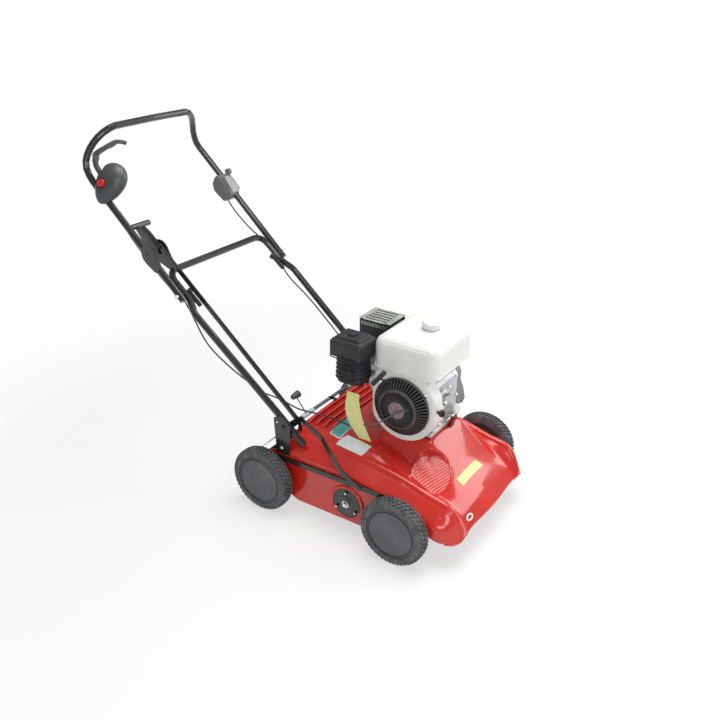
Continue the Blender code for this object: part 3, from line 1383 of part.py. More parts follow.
def throttle_cable_points():
    """Route of the throttle cable, above and below the fold."""
    upper = [(0.2400, *on_upper(THROTTLE_AT - 0.0449, -0.0270)), (0.2370, *on_upper(0.235, -0.0300)),
             (0.2430, *on_upper(0.150, -0.0300)), (0.2520, *on_upper(0.070, -0.0190)),
             (0.2525, *on_upper(0.008, -0.0120))]
    lower = [(0.2462, *on_lower(FOLD_AT - 0.004, -0.0110)), (0.2400, *on_lower(FOLD_AT - 0.090, -0.0240)),
             (0.2420, *on_lower(FOLD_AT - 0.200, -0.0170)), (0.2380, *on_lower(FOLD_AT - 0.330, -0.0150)),
             (0.2150, *on_lower(FOLD_AT - 0.450, 0.0)), (0.1700, 0.2700, 0.3400), (0.1480, 0.2350, 0.3500),
             (0.1300, 0.2250, 0.4200)]
    return upper, lower


def build():
    clear_scene()
    nose_y = min(point[1] for line in DECK_LINES for point in line)
    tail_y = max(point[1] for point in upper_path()) + TUBE_R
    middle = Vector((0, (nose_y + tail_y) / 2, 0))

    red = material("red_paint", (0.62, 0.012, 0.012), 0.22)
    black = material("black_paint", (0.02, 0.02, 0.022), 0.35)
    grey = material("grey_plastic", (0.055, 0.057, 0.062), 0.45)
    rubber = material("rubber", (0.035, 0.036, 0.038), 0.85)
    steel = material("steel", (0.62, 0.62, 0.63), 0.3, 1.0)
    cast = material("cast_aluminium", (0.55, 0.55, 0.56), 0.45, 1.0)
    white = material("white_paint", (0.86, 0.86, 0.86), 0.25)
    guard_grey = material("guard_grey", (0.23, 0.23, 0.23), 0.5)
    signal = material("signal_red", (0.65, 0.02, 0.02), 0.4)
    card = material("yellow_card", (0.78, 0.80, 0.32), 0.6)

    origin = link(bpy.data.objects.new("origin", None))
    origin["place"] = Vector((0, 0, 0))
    origin.location = -middle

    def body(name, spot, parent=None):
        return empty(name + "_axis", spot, parent or origin)

    root = origin
    for piece, paint in ((deck_shell(), red), (rear_bar(), black), (handle_bracket(RIGHT), black),
                         (handle_bracket(LEFT), black), (lower_handle(), black),
                         (crankcase(), cast), (cylinder_head(), cast), (blower_housing(), white),
                         (recoil_cover(), black), (fuel_tank(), white), (air_cleaner_cover(), black),
                         (air_cleaner_base(), black), (carburettor(), cast), (muffler(), steel),
                         (muffler_guard(), black), (oil_cap(), grey), (belt_guard(), guard_grey),
                         (drive_belt(), rubber), (bearing_flange(RIGHT), black),
                         (bearing_flange(LEFT), black),
                         (fold_bolt(RIGHT), steel), (fold_bolt(LEFT), steel),
                         (hang_tag(), card)):
        place(piece, root, paint)
    clutch_up, clutch_low = clutch_cable_points()
    throttle_up, throttle_low = throttle_cable_points()
    place(cable("clutch_cable_lower", clutch_low, 30), root, black)
    place(cable("throttle_cable_lower", throttle_low, 26), root, black)

    front = body("front_axle", (0, *FRONT_PIVOT))
    rear = body("rear_axle", (0, *REAR_PIVOT))
    place(cranked_axle("front_axle", FRONT_PIVOT, FRONT_AXLE_Y), front, steel)
    place(cranked_axle("rear_axle", REAR_PIVOT, REAR_AXLE_Y), rear, steel)
    for word, side in (("right", RIGHT), ("left", LEFT)):
        for end, axle, y in (("front", front, FRONT_AXLE_Y), ("rear", rear, REAR_AXLE_Y)):
            wheel = body(f"{end}_{word}_wheel", (side * TRACK_HALF, y, WHEEL_R), axle)
            place(tyre(side, y, f"{end}_{word}_tyre"), wheel, rubber)
            place(rim(side, y, f"{end}_{word}_rim"), wheel, grey)

    links = body("links", (-0.2748, FRONT_PIVOT[0] + LEVER_Y, FRONT_PIVOT[1] + LEVER_Z), front)
    place(tie_bar(), links, black)
    place(pull_link(), links, black)
    crank = body("adjust_crank", (-0.22, BAR_Y, BAR_Z))
    place(adjust_crank(), crank, black)
    rod = body("adjust_rod", (ROD_X, BAR_Y + ROD_ARM_Y, BAR_Z + ROD_ARM_Z), crank)
    place(adjust_rod(), rod, grey)
    lever = body("height_lever", (-0.222, LEVER_PIVOT_Y, LEVER_PIVOT_Z))
    place(height_lever(), lever, grey)
    flap = body("rear_flap", (0, BAR_Y, BAR_Z))
    place(rear_flap(), flap, guard_grey)

    upper = body("upper_handle", (0, FOLD_Y, FOLD_Z))
    place(upper_handle(), upper, black)
    place(opc_housing(), upper, grey)
    place(throttle_box(), upper, grey)
    place(lever_quadrant(), upper, grey)
    place(cable("clutch_cable_upper", clutch_up, 14), upper, black)
    place(cable("throttle_cable_upper", throttle_up, 14), upper, black)
    squeeze = body("opc_lever", opc_pivot(), upper)
    place(opc_lever(), squeeze, grey)
    button = body("stop_button", button_axis(0.02), upper)
    place(stop_button(), button, signal)
    throttle = body("throttle_lever", (THROTTLE_SLOT, *throttle_pivot()), upper)
    place(throttle_lever(), throttle, grey)
    for word, side in (("right", RIGHT), ("left", LEFT)):
        clamp = body(f"clamp_lever_{word}", (side * CLAMP_X, FOLD_Y, FOLD_Z))
        place(clamp_lever(side), clamp, black)

    rotor = body("rotor", (0, ROTOR_Y, ROTOR_Z))
    place(rotor_shaft(), rotor, steel)
    place(tines(), rotor, steel)
    place(pulley("driven_pulley", ROTOR_Y, ROTOR_Z, DRIVEN_R, ROTOR_SHAFT_R + FIT), rotor, cast)
    engine = body("crankshaft", (0, CRANK_Y, CRANK_Z))
    place(crankshaft(), engine, steel)
    place(pulley("drive_pulley", CRANK_Y, CRANK_Z, DRIVE_R, CRANK_R + FIT), engine, cast)
    cap = body("fuel_cap", (*CAP_AT, TANK_TOP))
    place(fuel_cap(), cap, guard_grey)
    switch = body("stop_switch", (-0.118, CRANK_Y - BLOWER_R, CRANK_Z + 0.010))
    place(stop_switch(), switch, grey)
    pull = body("recoil_grip", grip_axis()[0])
    place(recoil_grip(), pull, grey)

    bpy.context.view_layer.update()
    for thing in bpy.data.objects:
        if thing.type == "EMPTY":
            print("joint", thing.name, [round(v, 5) for v in thing.matrix_world.translation])


build()
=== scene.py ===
# %% [markdown]
# # A petrol lawn aerator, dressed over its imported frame
# The frame holds every solid of the machine in its real place. This script adds the finishes and the
# parts that are too fine for the solid model, and it never moves a solid.

# %% Load the frame
import math

import bmesh
import bpy
import numpy as np
from mathutils import Matrix, Vector
from mathutils.bvhtree import BVHTree


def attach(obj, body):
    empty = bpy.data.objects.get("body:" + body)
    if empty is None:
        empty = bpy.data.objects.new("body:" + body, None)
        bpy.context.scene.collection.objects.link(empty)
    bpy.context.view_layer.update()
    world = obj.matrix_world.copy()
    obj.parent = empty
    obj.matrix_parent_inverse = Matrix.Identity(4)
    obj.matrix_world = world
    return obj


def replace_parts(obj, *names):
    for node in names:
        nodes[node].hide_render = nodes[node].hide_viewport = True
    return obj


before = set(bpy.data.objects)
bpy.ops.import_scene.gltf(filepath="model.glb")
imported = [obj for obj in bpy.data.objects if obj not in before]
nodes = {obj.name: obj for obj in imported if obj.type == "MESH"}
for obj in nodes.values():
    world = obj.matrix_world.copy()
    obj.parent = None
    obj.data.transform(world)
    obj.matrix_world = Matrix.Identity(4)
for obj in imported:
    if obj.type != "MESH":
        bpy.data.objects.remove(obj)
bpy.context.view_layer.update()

# %% [markdown]
# The machine was drawn with its own zero, and the frame is shifted along Y so that it stands centred.
# Places are in the frame's metres; the front looks along -Y, and -X is the operator's right.

# %% Sizes that the pieces share
SHIFT = -0.38825
CRANK = Vector((0.0, -0.056 + SHIFT, 0.427))
ROTOR = Vector((0.0, 0.05 + SHIFT, 0.112))
RECOIL_FACE_X, RECOIL_DEPTH, RECOIL_R = -0.165, 0.034, 0.0945
WHEEL_R, RIM_R, TRACK_HALF, TYRE_HALF = 0.11, 0.083, 0.3045, 0.0225
SIDE_X = 0.2665
UPRIGHT = ((1, 0, 0), (0, 1, 0), (0, 0, 1))
RIGHT, LEFT, FRONT, REAR, DOWN, UP = (-1, 0, 0), (1, 0, 0), (0, -1, 0), (0, 1, 0), (0, 0, -1), (0, 0, 1)


def put(name, data):
    """Links a new object to the scene."""
    obj = bpy.data.objects.new(name, data)
    bpy.context.scene.collection.objects.link(obj)
    return obj


def circle(count):
    """Cosine and sine of even turns round a circle."""
    return [(math.cos(2 * math.pi * k / count), math.sin(2 * math.pi * k / count)) for k in range(count)]

# %% [markdown]
# The camera stands where the photograph was taken. Its turn, tilt and focal length were found from
# the wheels, the handle and the deck, so that picture and render lie on each other.

# %% Camera
AZIMUTH, ELEVATION, ROLL = (math.radians(a) for a in (-56.8166, 26.1419, 0.4962))
FOCAL_PX, FRAME_PX, SENSOR = 828.02, 720, 36.0

back = Vector((math.sin(AZIMUTH) * math.cos(ELEVATION), -math.cos(AZIMUTH) * math.cos(ELEVATION),
               math.sin(ELEVATION)))
level = Vector((0, 0, 1)).cross(back).normalized()
rise = back.cross(level)
cam_x = level * math.cos(ROLL) + rise * math.sin(ROLL)
cam_y = rise * math.cos(ROLL) - level * math.sin(ROLL)
cam_at = Vector((-2.0253, -1.1427 + SHIFT, 1.6511))

camera = put("photo_camera", bpy.data.cameras.new("photo_camera"))
camera.data.sensor_width = SENSOR
camera.data.lens = FOCAL_PX / FRAME_PX * SENSOR
camera.matrix_world = Matrix.Translation(cam_at) @ Matrix((cam_x, cam_y, back)).transposed().to_4x4()
bpy.context.scene.camera = camera
print("lens", round(camera.data.lens, 2), "mm")

# %% [markdown]
# A sticker or a screw lies on a sheet. Casting a ray at the solid's mesh finds the spot, so whatever
# is put there rests on the metal from every side.

# %% Casting rays at the solids
trees = {}


def sight(px, py):
    """Direction from the camera through a point of the 720 px picture."""
    half = FRAME_PX / 2
    return (cam_x * ((px - half) / FOCAL_PX) + cam_y * ((half - py) / FOCAL_PX) - back).normalized()


def tree_of(node):
    if node not in trees:
        mesh = nodes[node].data
        trees[node] = BVHTree.FromPolygons([v.co for v in mesh.vertices], [p.vertices for p in mesh.polygons])
    return trees[node]


def seen_on(node, px, py):
    """The point and normal where the line of sight through a picture point meets a solid."""
    way = sight(px, py)
    spot, normal, _, _ = tree_of(node).ray_cast(cam_at, way)
    if spot and normal.dot(way) > 0:
        normal = -normal
    return spot, normal


def sight_on_x(px, py, x):
    """The point of the line of sight that lies in a plane square to X."""
    way = sight(px, py)
    return cam_at + way * ((x - cam_at.x) / way.x)

# %% [markdown]
# ## Shaders written as sums
# A node tree is hard to read as a list of links. A small class wraps one output socket, so that an
# expression such as `1 - dust * 0.3` adds the Math nodes by itself.

# %% Shader helpers
class Signal:
    """One output socket; arithmetic on it adds Math nodes."""

    def __init__(self, recipe, socket):
        self.recipe, self.socket = recipe, socket

    def _math(self, operation, a, b):
        return self.recipe.node("ShaderNodeMath", {"operation": operation}, {0: a, 1: b})

    def __add__(self, other):
        return self._math("ADD", self, other)

    def __mul__(self, other):
        return self._math("MULTIPLY", self, other)

    def __sub__(self, other):
        return self._math("SUBTRACT", self, other)

    def __rsub__(self, other):
        return self._math("SUBTRACT", other, self)

    def most(self, other):
        return self._math("MAXIMUM", self, other)

    __radd__, __rmul__ = __add__, __mul__


class Recipe:
    """The nodes of a material or a world."""

    def __init__(self, owner, end="ShaderNodeOutputMaterial"):
        owner.use_nodes = True
        self.owner, self.tree = owner, owner.node_tree
        self.tree.nodes.clear()
        self.end = self.tree.nodes.new(end)

    def node(self, kind, settings=None, links=None, out=0):
        """Adds a node: its settings first, then its sockets' values or links."""
        node = self.tree.nodes.new(kind)
        for key, value in (settings or {}).items():
            setattr(node, key, value)
        for key, value in (links or {}).items():
            self.feed(node.inputs[key], value)
        return Signal(self, node.outputs[out])

    def feed(self, socket, value):
        if isinstance(value, Signal):
            self.tree.links.new(value.socket, socket)
        elif isinstance(value, tuple) and len(value) == 3 and socket.type == "RGBA":
            socket.default_value = (*value, 1)
        else:
            socket.default_value = value

    def set(self, **values):
        """Sets the shader's own sockets; an underscore in a name stands for a space."""
        for key, value in values.items():
            self.feed(self.shader.socket.node.inputs[key.replace("_", " ")], value)

    def close(self, shader):
        """Joins the last shader to the output."""
        self.feed(self.end.inputs[0], shader)
        return self.owner

    def place(self):
        return self.node("ShaderNodeTexCoord", out="Object")

    def noise(self, scale, detail=2.0, rough=0.5, at=None):
        return self.node("ShaderNodeTexNoise", {},
                         {"Vector": at or self.place(), "Scale": scale, "Detail": detail, "Roughness": rough})

    def mask(self, signal, low, high):
        """0 below low, 1 above high and smooth between."""
        return self.node("ShaderNodeMapRange", {"interpolation_type": "SMOOTHSTEP"},
                         {"Value": signal, "From Min": low, "From Max": high})

    def mix(self, share, a, b):
        return self.node("ShaderNodeMix", {"data_type": "RGBA"}, {0: share, 6: a, 7: b}, out=2)

    def bump(self, height, strength, distance):
        return self.node("ShaderNodeBump", {}, {"Height": height, "Strength": strength, "Distance": distance})

    def ray(self, kind):
        return self.node("ShaderNodeLightPath", out=f"Is {kind} Ray")

# %% [markdown]
# ## The finishes
# Most surfaces share a plan: a base colour that drifts slowly, a finer mottling, a little dust that
# also dulls the gloss, and a grain that bumps the surface. Each finish gives its own numbers to it.

# %% The shared plan of a finish
def plan(name, base, shade, rough, metal=0.0, coat=0.0, grain=900.0, depth=0.15, dust=0.1,
         dirt=(0.42, 0.38, 0.33), drift=9.0, spread=0.1, gloss=0.5):
    recipe = Recipe(bpy.data.materials.new(name))
    recipe.shader = recipe.node("ShaderNodeBsdfPrincipled")
    recipe.close(recipe.shader)
    fine = recipe.noise(drift * 14, 3.0, 0.6)
    specks = recipe.mask(recipe.noise(drift * 5, 6.0, 0.7), 0.52, 0.78)
    colour = recipe.mix(recipe.mask(recipe.noise(drift, 3.0), 0.3, 0.7), base, shade)
    recipe.set(Base_Color=recipe.mix(specks * dust, colour, dirt), Metallic=metal, Specular_IOR_Level=gloss,
               Roughness=fine * spread + specks * dust * 0.8 + (rough - spread / 2),
               Normal=recipe.bump(recipe.noise(grain) + fine * 0.6, depth, 0.0006))
    if coat:
        recipe.set(Coat_Weight=coat, Coat_Roughness=0.06)
    return recipe


def finish(*numbers, **words):
    return plan(*numbers, **words).owner

# %% [markdown]
# The deck is stoved enamel on pressed steel: a saturated red under a hard gloss. Real enamel has a
# slight orange peel, fine dust and faint dull rubs where it was handled.

# %% Red enamel
def red_enamel():
    recipe = plan("red_enamel", (0.66, 0.024, 0.012), (0.56, 0.015, 0.008), 0.26, coat=0.8, grain=420.0,
                  depth=0.05, dust=0.025, dirt=(0.52, 0.14, 0.1), drift=6.0)
    stretched = recipe.node("ShaderNodeMapping", {}, {"Vector": recipe.place(), "Scale": (1.0, 5.0, 1.0)})
    rubs = recipe.mask(recipe.noise(26.0, 5.0, 0.75, stretched), 0.6, 0.74)
    peel = recipe.noise(240.0, 1.0) + recipe.noise(900.0) * 0.3
    recipe.set(Roughness=0.24 + rubs * 0.16 + recipe.noise(40.0, 3.0) * 0.08, Specular_IOR_Level=0.3,
               Normal=recipe.bump(peel, 0.06, 0.0005), Coat_Roughness=0.07)
    return recipe.owner


RED = red_enamel()

# %% [markdown]
# Each black is another one: powder coat on tube is satin and slightly pebbled, moulded plastic is
# matt with a leather grain, and the muffler's paint is chalky from heat.

# %% Blacks and greys
POWDER = finish("black_powder_coat", (0.012, 0.012, 0.014), (0.02, 0.02, 0.022), 0.26, coat=0.5,
                depth=0.03, dust=0.04, spread=0.04, gloss=0.4)
MOULDED = finish("black_moulded_plastic", (0.018, 0.018, 0.021), (0.034, 0.034, 0.037), 0.46,
                 grain=1900.0, depth=0.3, dust=0.14, gloss=0.35)
GRILLE = finish("starter_grille", (0.05, 0.05, 0.046), (0.078, 0.077, 0.07), 0.44, grain=1700.0,
                depth=0.25, dust=0.22, dirt=(0.16, 0.15, 0.13), drift=20.0, gloss=0.35)
# Near-black and dull: painted shade, laid in the louvres' gaps, the belt's slot, the guard's slots and behind
# the starter's ribs.
PAINTED_SHADE = finish("painted_shade_black", (0.006, 0.006, 0.007), (0.012, 0.011, 0.012), 0.8, grain=1300.0,
                depth=0.2, dirt=(0.04, 0.03, 0.03), gloss=0.1)
HEATED = finish("heated_black_paint", (0.022, 0.023, 0.026), (0.05, 0.052, 0.056), 0.62, grain=1300.0,
                depth=0.35, dust=0.3, dirt=(0.2, 0.21, 0.22))
HUB = finish("grey_hub_plastic", (0.092, 0.097, 0.105), (0.132, 0.138, 0.147), 0.52, grain=1200.0,
             depth=0.35, dust=0.32, dirt=(0.28, 0.29, 0.3), drift=14.0, gloss=0.3)
GUARD = finish("dark_grey_guard", (0.165, 0.167, 0.17), (0.215, 0.217, 0.22), 0.5, grain=1400.0,
               depth=0.2, dust=0.12, gloss=0.3)
JACKET = finish("cable_jacket", (0.018, 0.018, 0.02), (0.03, 0.03, 0.032), 0.42, grain=2200.0,
                depth=0.2, dust=0.12)
GREY_JACKET = finish("grey_cable_jacket", (0.075, 0.076, 0.078), (0.115, 0.116, 0.118), 0.42,
                     grain=2200.0, depth=0.2, dust=0.2)
SATIN = {"grain": 1700.0, "depth": 0.1, "dust": 0.06, "drift": 20.0, "gloss": 0.5}
CONTROL = finish("grey_control_plastic", (0.054, 0.055, 0.061), (0.076, 0.077, 0.084), 0.32, **SATIN)
THROTTLE_GREY = finish("grey_throttle_plastic", (0.115, 0.116, 0.122), (0.15, 0.151, 0.158), 0.36, **SATIN)

# %% [markdown]
# The engine's shroud and tank are so bright that the picture shows little of them. A pale enamel
# keeps their shape readable, because the light still falls off round their edges.

# %% Whites and bright plastics
WHITE = finish("white_enamel", (0.8, 0.8, 0.77), (0.74, 0.75, 0.72), 0.3, coat=0.3, grain=700.0,
               depth=0.05, dirt=(0.58, 0.56, 0.5), drift=14.0)
PALE = finish("pale_grey_plastic", (0.52, 0.58, 0.62), (0.44, 0.5, 0.54), 0.42, grain=1000.0,
              depth=0.12, dust=0.14, drift=12.0)
CREAM = finish("cream_plastic", (0.72, 0.74, 0.7), (0.62, 0.66, 0.62), 0.4, grain=1100.0)
BUTTON_RED = finish("red_button_plastic", (0.62, 0.02, 0.016), (0.54, 0.014, 0.012), 0.34, coat=0.2,
                    grain=1200.0, depth=0.1, dust=0.05)
# A darker copy of the red enamel: painted shade for the red stay in front of the engine.
SHADED_RED = finish("red_enamel_painted_shade", (0.26, 0.008, 0.01), (0.2, 0.006, 0.008), 0.34, coat=0.5,
                 grain=600.0, depth=0.06, dirt=(0.3, 0.14, 0.12))

# %% [markdown]
# Metals come in four kinds: sand-cast aluminium, rough and pale; bright zinc on screws and pins;
# heat-stained sheet on the muffler; and steel whose cut edges have darkened.

# %% Metals
CAST = finish("cast_aluminium", (0.62, 0.63, 0.64), (0.48, 0.49, 0.51), 0.46, metal=0.85, grain=650.0,
              depth=0.55, dust=0.22, dirt=(0.3, 0.29, 0.27), drift=16.0, spread=0.2)
ZINC = finish("bright_zinc", (0.78, 0.78, 0.76), (0.68, 0.69, 0.7), 0.26, metal=1.0, grain=1500.0,
              depth=0.1, dust=0.08, drift=40.0)
HEAT_SHEET = finish("pale_heat_sheet", (0.5, 0.52, 0.46), (0.34, 0.36, 0.33), 0.42, metal=0.35,
                    depth=0.25, dust=0.35, dirt=(0.16, 0.16, 0.14), drift=24.0, spread=0.2)
STEEL = finish("dark_steel", (0.3, 0.3, 0.31), (0.2, 0.2, 0.21), 0.4, metal=1.0, depth=0.25,
               dust=0.25, dirt=(0.12, 0.1, 0.09), drift=22.0, spread=0.2)

# %% [markdown]
# Rubber on a new wheel is nearly black with a dusty bloom. The bloom is a second, larger noise over
# the shared plan, and specks of dust lie on top.

# %% Rubber
def tread_rubber():
    recipe = plan("tread_rubber", (0.03, 0.031, 0.034), (0.048, 0.05, 0.053), 0.72, grain=1100.0,
                  depth=0.45, dust=0.3, drift=12.0)
    bloom = recipe.mask(recipe.noise(34.0, 5.0, 0.7), 0.4, 0.66)
    specks = recipe.mask(recipe.noise(420.0, 2.0, 0.6), 0.58, 0.7)
    plain = recipe.mix(recipe.noise(160.0), (0.06, 0.062, 0.066), (0.105, 0.108, 0.113))
    dusty = recipe.mix(bloom * 0.65, plain, (0.19, 0.195, 0.2))
    recipe.set(Base_Color=recipe.mix(specks * 0.45, dusty, (0.3, 0.31, 0.31)), Specular_IOR_Level=0.25)
    return recipe.owner


RUBBER = tread_rubber()

# %% [markdown]
# The stickers and the hanging card are thin sheets of print that fades a little. They carry no words
# here, only a plain ground.

# %% Cards
def card(name, ground, faded, rough=0.5):
    return finish(name, ground, faded, rough, grain=1600.0, depth=0.12, dust=0.16,
                  dirt=tuple(0.7 * v for v in ground), drift=30.0)


YELLOW_CARD = card("yellow_card", (0.78, 0.8, 0.26), (0.84, 0.86, 0.42))
TEAL_CARD = card("teal_sticker", (0.05, 0.34, 0.3), (0.1, 0.42, 0.37), 0.35)
WHITE_CARD = card("white_sticker", (0.78, 0.8, 0.8), (0.66, 0.7, 0.72), 0.35)
GREEN_CARD = card("green_yellow_sticker", (0.7, 0.74, 0.24), (0.76, 0.78, 0.36), 0.35)
ROSE_BADGE = card("rose_badge", (0.17, 0.085, 0.1), (0.3, 0.17, 0.19), 0.28)
ROSE_RIM = card("rose_badge_rim", (0.42, 0.34, 0.36), (0.3, 0.22, 0.24), 0.28)

# %% [markdown]
# Every solid of the frame now gets its finish. The names are the frame's own, so a solid that was
# forgotten shows up in the printed list and not as grey in the picture.

# %% Finish the solids
WHEELS = [(f"{end}_{word}", side, y + SHIFT) for end, y in (("front", -0.143), ("rear", 0.357))
          for word, side in (("right", -1), ("left", 1))]
dress = {
    RED: "deck_shell",
    POWDER: "rear_bar lower_handle upper_handle handle_bracket_right handle_bracket_left tie_bar pull_link "
            "adjust_crank adjust_rod front_axle rear_axle bearing_flange_right bearing_flange_left "
            "height_lever lever_quadrant",
    CONTROL: "opc_housing opc_lever",
    THROTTLE_GREY: "throttle_box",
    MOULDED: "clamp_lever_right clamp_lever_left air_cleaner_cover air_cleaner_base recoil_cover "
             "recoil_grip stop_switch",
    HEATED: "muffler_guard muffler",
    HUB: " ".join(name + "_rim" for name, _, _ in WHEELS),
    GUARD: "belt_guard",
    JACKET: "clutch_cable_upper clutch_cable_lower throttle_cable_upper throttle_cable_lower",
    WHITE: "fuel_tank blower_housing fuel_cap",
    PALE: "rear_flap",
    CREAM: "oil_cap throttle_lever",
    BUTTON_RED: "stop_button",
    CAST: "crankcase cylinder_head carburettor",
    ZINC: "fold_bolt_right fold_bolt_left",
    STEEL: "rotor_shaft tines driven_pulley drive_pulley crankshaft",
    RUBBER: "drive_belt " + " ".join(name + "_tyre" for name, _, _ in WHEELS),
    YELLOW_CARD: "hang_tag",
}
for material, names in dress.items():
    for name in names.split():
        nodes[name].data.materials.clear()
        nodes[name].data.materials.append(material)
print("solids without a finish:", sorted(set(nodes) - set(" ".join(dress.values()).split())))

# %% [markdown]
# ## Building small pieces
# One class gathers the shapes of a piece in a single mesh: turned profiles, bent tubes, hexagon
# heads and plates. At the end it is smoothed, given its finish and set to ride on a body.

# %% The piece builder
def axes_of(direction):
    """A direction of length one and two more, square to it."""
    forward = Vector(direction).normalized()
    helper = Vector((0, 0, 1)) if abs(forward.z) < 0.9 else Vector((0, 1, 0))
    side = helper.cross(forward).normalized()
    return forward, side, forward.cross(side)


def spline(points, steps):
    """Points along a smooth curve through the given ones, so many to each stretch."""
    pts = np.array([tuple(p) for p in points], float)
    ends = np.vstack([2 * pts[0] - pts[1], pts, 2 * pts[-1] - pts[-2]])
    fine = [0.5 * (2 * b + (c - a) * t + (2 * a - 5 * b + 4 * c - d) * t * t + (3 * b - a - 3 * c + d) * t ** 3)
            for a, b, c, d in zip(ends, ends[1:], ends[2:], ends[3:])
            for t in np.linspace(0, 1, steps, endpoint=False)]
    return np.array(fine + [pts[-1]])


def smooth(mesh, angle):
    """Shades a mesh smooth, with sharp edges where it turns by more than an angle in degrees."""
    mesh.polygons.foreach_set("use_smooth", [True] * len(mesh.polygons))
    mesh.set_sharp_from_angle(angle=math.radians(angle))


class Piece:
    """The shapes of one piece, with its finish, its slot, which is not used, and the body that it rides on."""

    def __init__(self, name, material, slot, body="frame"):
        self.name, self.material, self.slot, self.body = name, material, slot, body
        self.bm = bmesh.new()

    def ring(self, points):
        return [self.bm.verts.new(p) for p in points]

    def band(self, rings, closed=False):
        """Skins a list of rings of points, all of one length; open ends are capped."""
        rings = [self.ring(points) for points in rings]
        for a, b in zip(rings, rings[1:] + (rings[:1] if closed else [])):
            for k in range(len(a)):
                j = (k + 1) % len(a)
                self.bm.faces.new((a[k], a[j], b[j], b[k]))
        if not closed:
            self.bm.faces.new(rings[0][::-1])
            self.bm.faces.new(rings[-1])
        return self

    def turn(self, at, direction, profile, seg=32, closed=False):
        """A turned shape: its profile gives (distance, radius) along the axis."""
        forward, side, up = axes_of(direction)
        return self.band([[Vector(at) + forward * distance + (side * c + up * s) * radius
                           for c, s in circle(seg)] for distance, radius in profile], closed)

    def tube(self, points, radius, seg=10, steps=6):
        path = [Vector(p) for p in (spline(points, steps) if steps else points)]
        rings = []
        _, side, _ = axes_of(path[1] - path[0])
        for i, point in enumerate(path):
            along = (path[min(i + 1, len(path) - 1)] - path[max(i - 1, 0)]).normalized()
            side = (side - along * side.dot(along)).normalized()
            up = along.cross(side)
            rings.append([point + (side * c + up * s) * radius for c, s in circle(seg)])
        return self.band(rings)

    def screw(self, at, direction, across, washer=True):
        """A hexagon head with a chamfered rim and, if wanted, its washer."""
        r = across / 2
        at, forward, base = Vector(at), Vector(direction).normalized(), 0.0
        if washer:
            self.turn(at, forward, ((0.0, r * 1.5), (r * 0.22, r * 1.5), (r * 0.28, r * 1.42)), 20)
            base = r * 0.28
        tall = r * 0.85
        return self.turn(at + forward * base, forward, ((0.0, r), (tall * 0.8, r), (tall, r * 0.82)), 6)

    def block(self, centre, half, axes=UPRIGHT):
        """A box from its centre, its half sizes and its three directions."""
        a, b, c = (Vector(v) * h for v, h in zip(axes, half))
        self.band([[Vector(centre) + a * s + b * u + c * v for u, v in ((-1, -1), (1, -1), (1, 1), (-1, 1))]
                   for s in (-1, 1)])

    def bevel(self, width):
        bmesh.ops.bevel(self.bm, geom=list(self.bm.edges), offset=width, segments=2, profile=0.6,
                        affect="EDGES", clamp_overlap=True)

    def bare(self):
        """The shape as an object with no finish and no body."""
        bmesh.ops.recalc_face_normals(self.bm, faces=self.bm.faces)
        mesh = bpy.data.meshes.new(self.name)
        self.bm.to_mesh(mesh)
        self.bm.free()
        return put(self.name, mesh)

    def done(self, angle=35):
        obj = self.bare()
        smooth(obj.data, angle)
        obj.data.materials.append(self.material)
        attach(obj, self.body)
        return obj

# %% [markdown]
# ## The pressed deck
# The deck is one sheet of steel pressed between two dies. The solid model keeps its surface with
# coarse facets. Here it is drawn again from the same lines on a fine grid, and every pressed form is a
# height added along its normal.

# %% The deck's lines
DECK_Y = (0.2925, 0.29, 0.2, 0.1, 0.0, -0.1)
DECK_LINES = [[(x, y, z) for y, z in zip(DECK_Y, heights)] + nose for x, heights, nose in (
    (0.0, (0.255, 0.279, 0.284, 0.286, 0.281, 0.256),
     [(0.0, -0.195, 0.212), (0.0, -0.277, 0.156), (0.0, -0.3265, 0.09)]),
    (0.15, (0.25, 0.274, 0.28, 0.277, 0.265, 0.238),
     [(0.15, -0.195, 0.197), (0.15, -0.275, 0.147), (0.15, -0.319, 0.09)]),
    (0.205, (0.24, 0.26, 0.259, 0.253, 0.243, 0.23),
     [(0.205, -0.195, 0.206), (0.205, -0.278, 0.182), (0.196, -0.327, 0.098)]),
    (0.245, (0.226, 0.241, 0.237, 0.231, 0.222, 0.203),
     [(0.245, -0.195, 0.177), (0.243, -0.272, 0.156), (0.226, -0.318, 0.089)]),
    (0.2665, (0.212, 0.216, 0.216, 0.215, 0.207, 0.184),
     [(0.2665, -0.195, 0.156), (0.264, -0.258, 0.135), (0.244, -0.302, 0.086)]),
    (0.268, (0.203, 0.203, 0.203, 0.202, 0.196, 0.172),
     [(0.268, -0.192, 0.145), (0.266, -0.24, 0.106), (0.25, -0.284, 0.084)]),
)]
SHEET_T = 0.0025
SKIRT_X, LIP_Y = 0.2677, -0.3244
GRID_LONG, GRID_WIDE, CURVE_STEPS = 300, 125, 24
SEAT_Z, SEAT_FRONT, SEAT_REAR = 0.3162, -0.138, 0.026
SEAT_LEFT, SEAT_RIGHT = 0.104, -0.094
SEAT_RUN, SEAT_SPREAD, SEAT_SLOPE, SEAT_BACK_SLOPE = 0.154, 0.088, 1.134, 2.6
DISC_PX, DISC_ALONG_PX = (432, 472.5), (452, 460.5)
DISC_R, DISC_PITCH = 0.069, 0.0084


def even_curve(points, count, knot=0):
    """Points read evenly from a smooth curve through the given ones; one of them can be kept."""
    fine = spline(points, CURVE_STEPS)
    run = np.concatenate([[0], np.cumsum(np.linalg.norm(np.diff(fine, axis=0), axis=1))])
    wanted = np.linspace(0, run[-1], count)
    if knot:
        split = run[CURVE_STEPS * knot]
        inner = int(count * 0.66)
        wanted = np.concatenate([np.linspace(0, split, inner),
                                 np.linspace(split, run[-1], count - inner + 1)[1:]])
    return np.stack([np.interp(wanted, run, fine[:, k]) for k in range(3)], axis=1)


def soft_over(value, ease=0.006):
    """The part of a value above zero, with a rounded start."""
    return 0.5 * (value + np.sqrt(value * value + ease * ease))


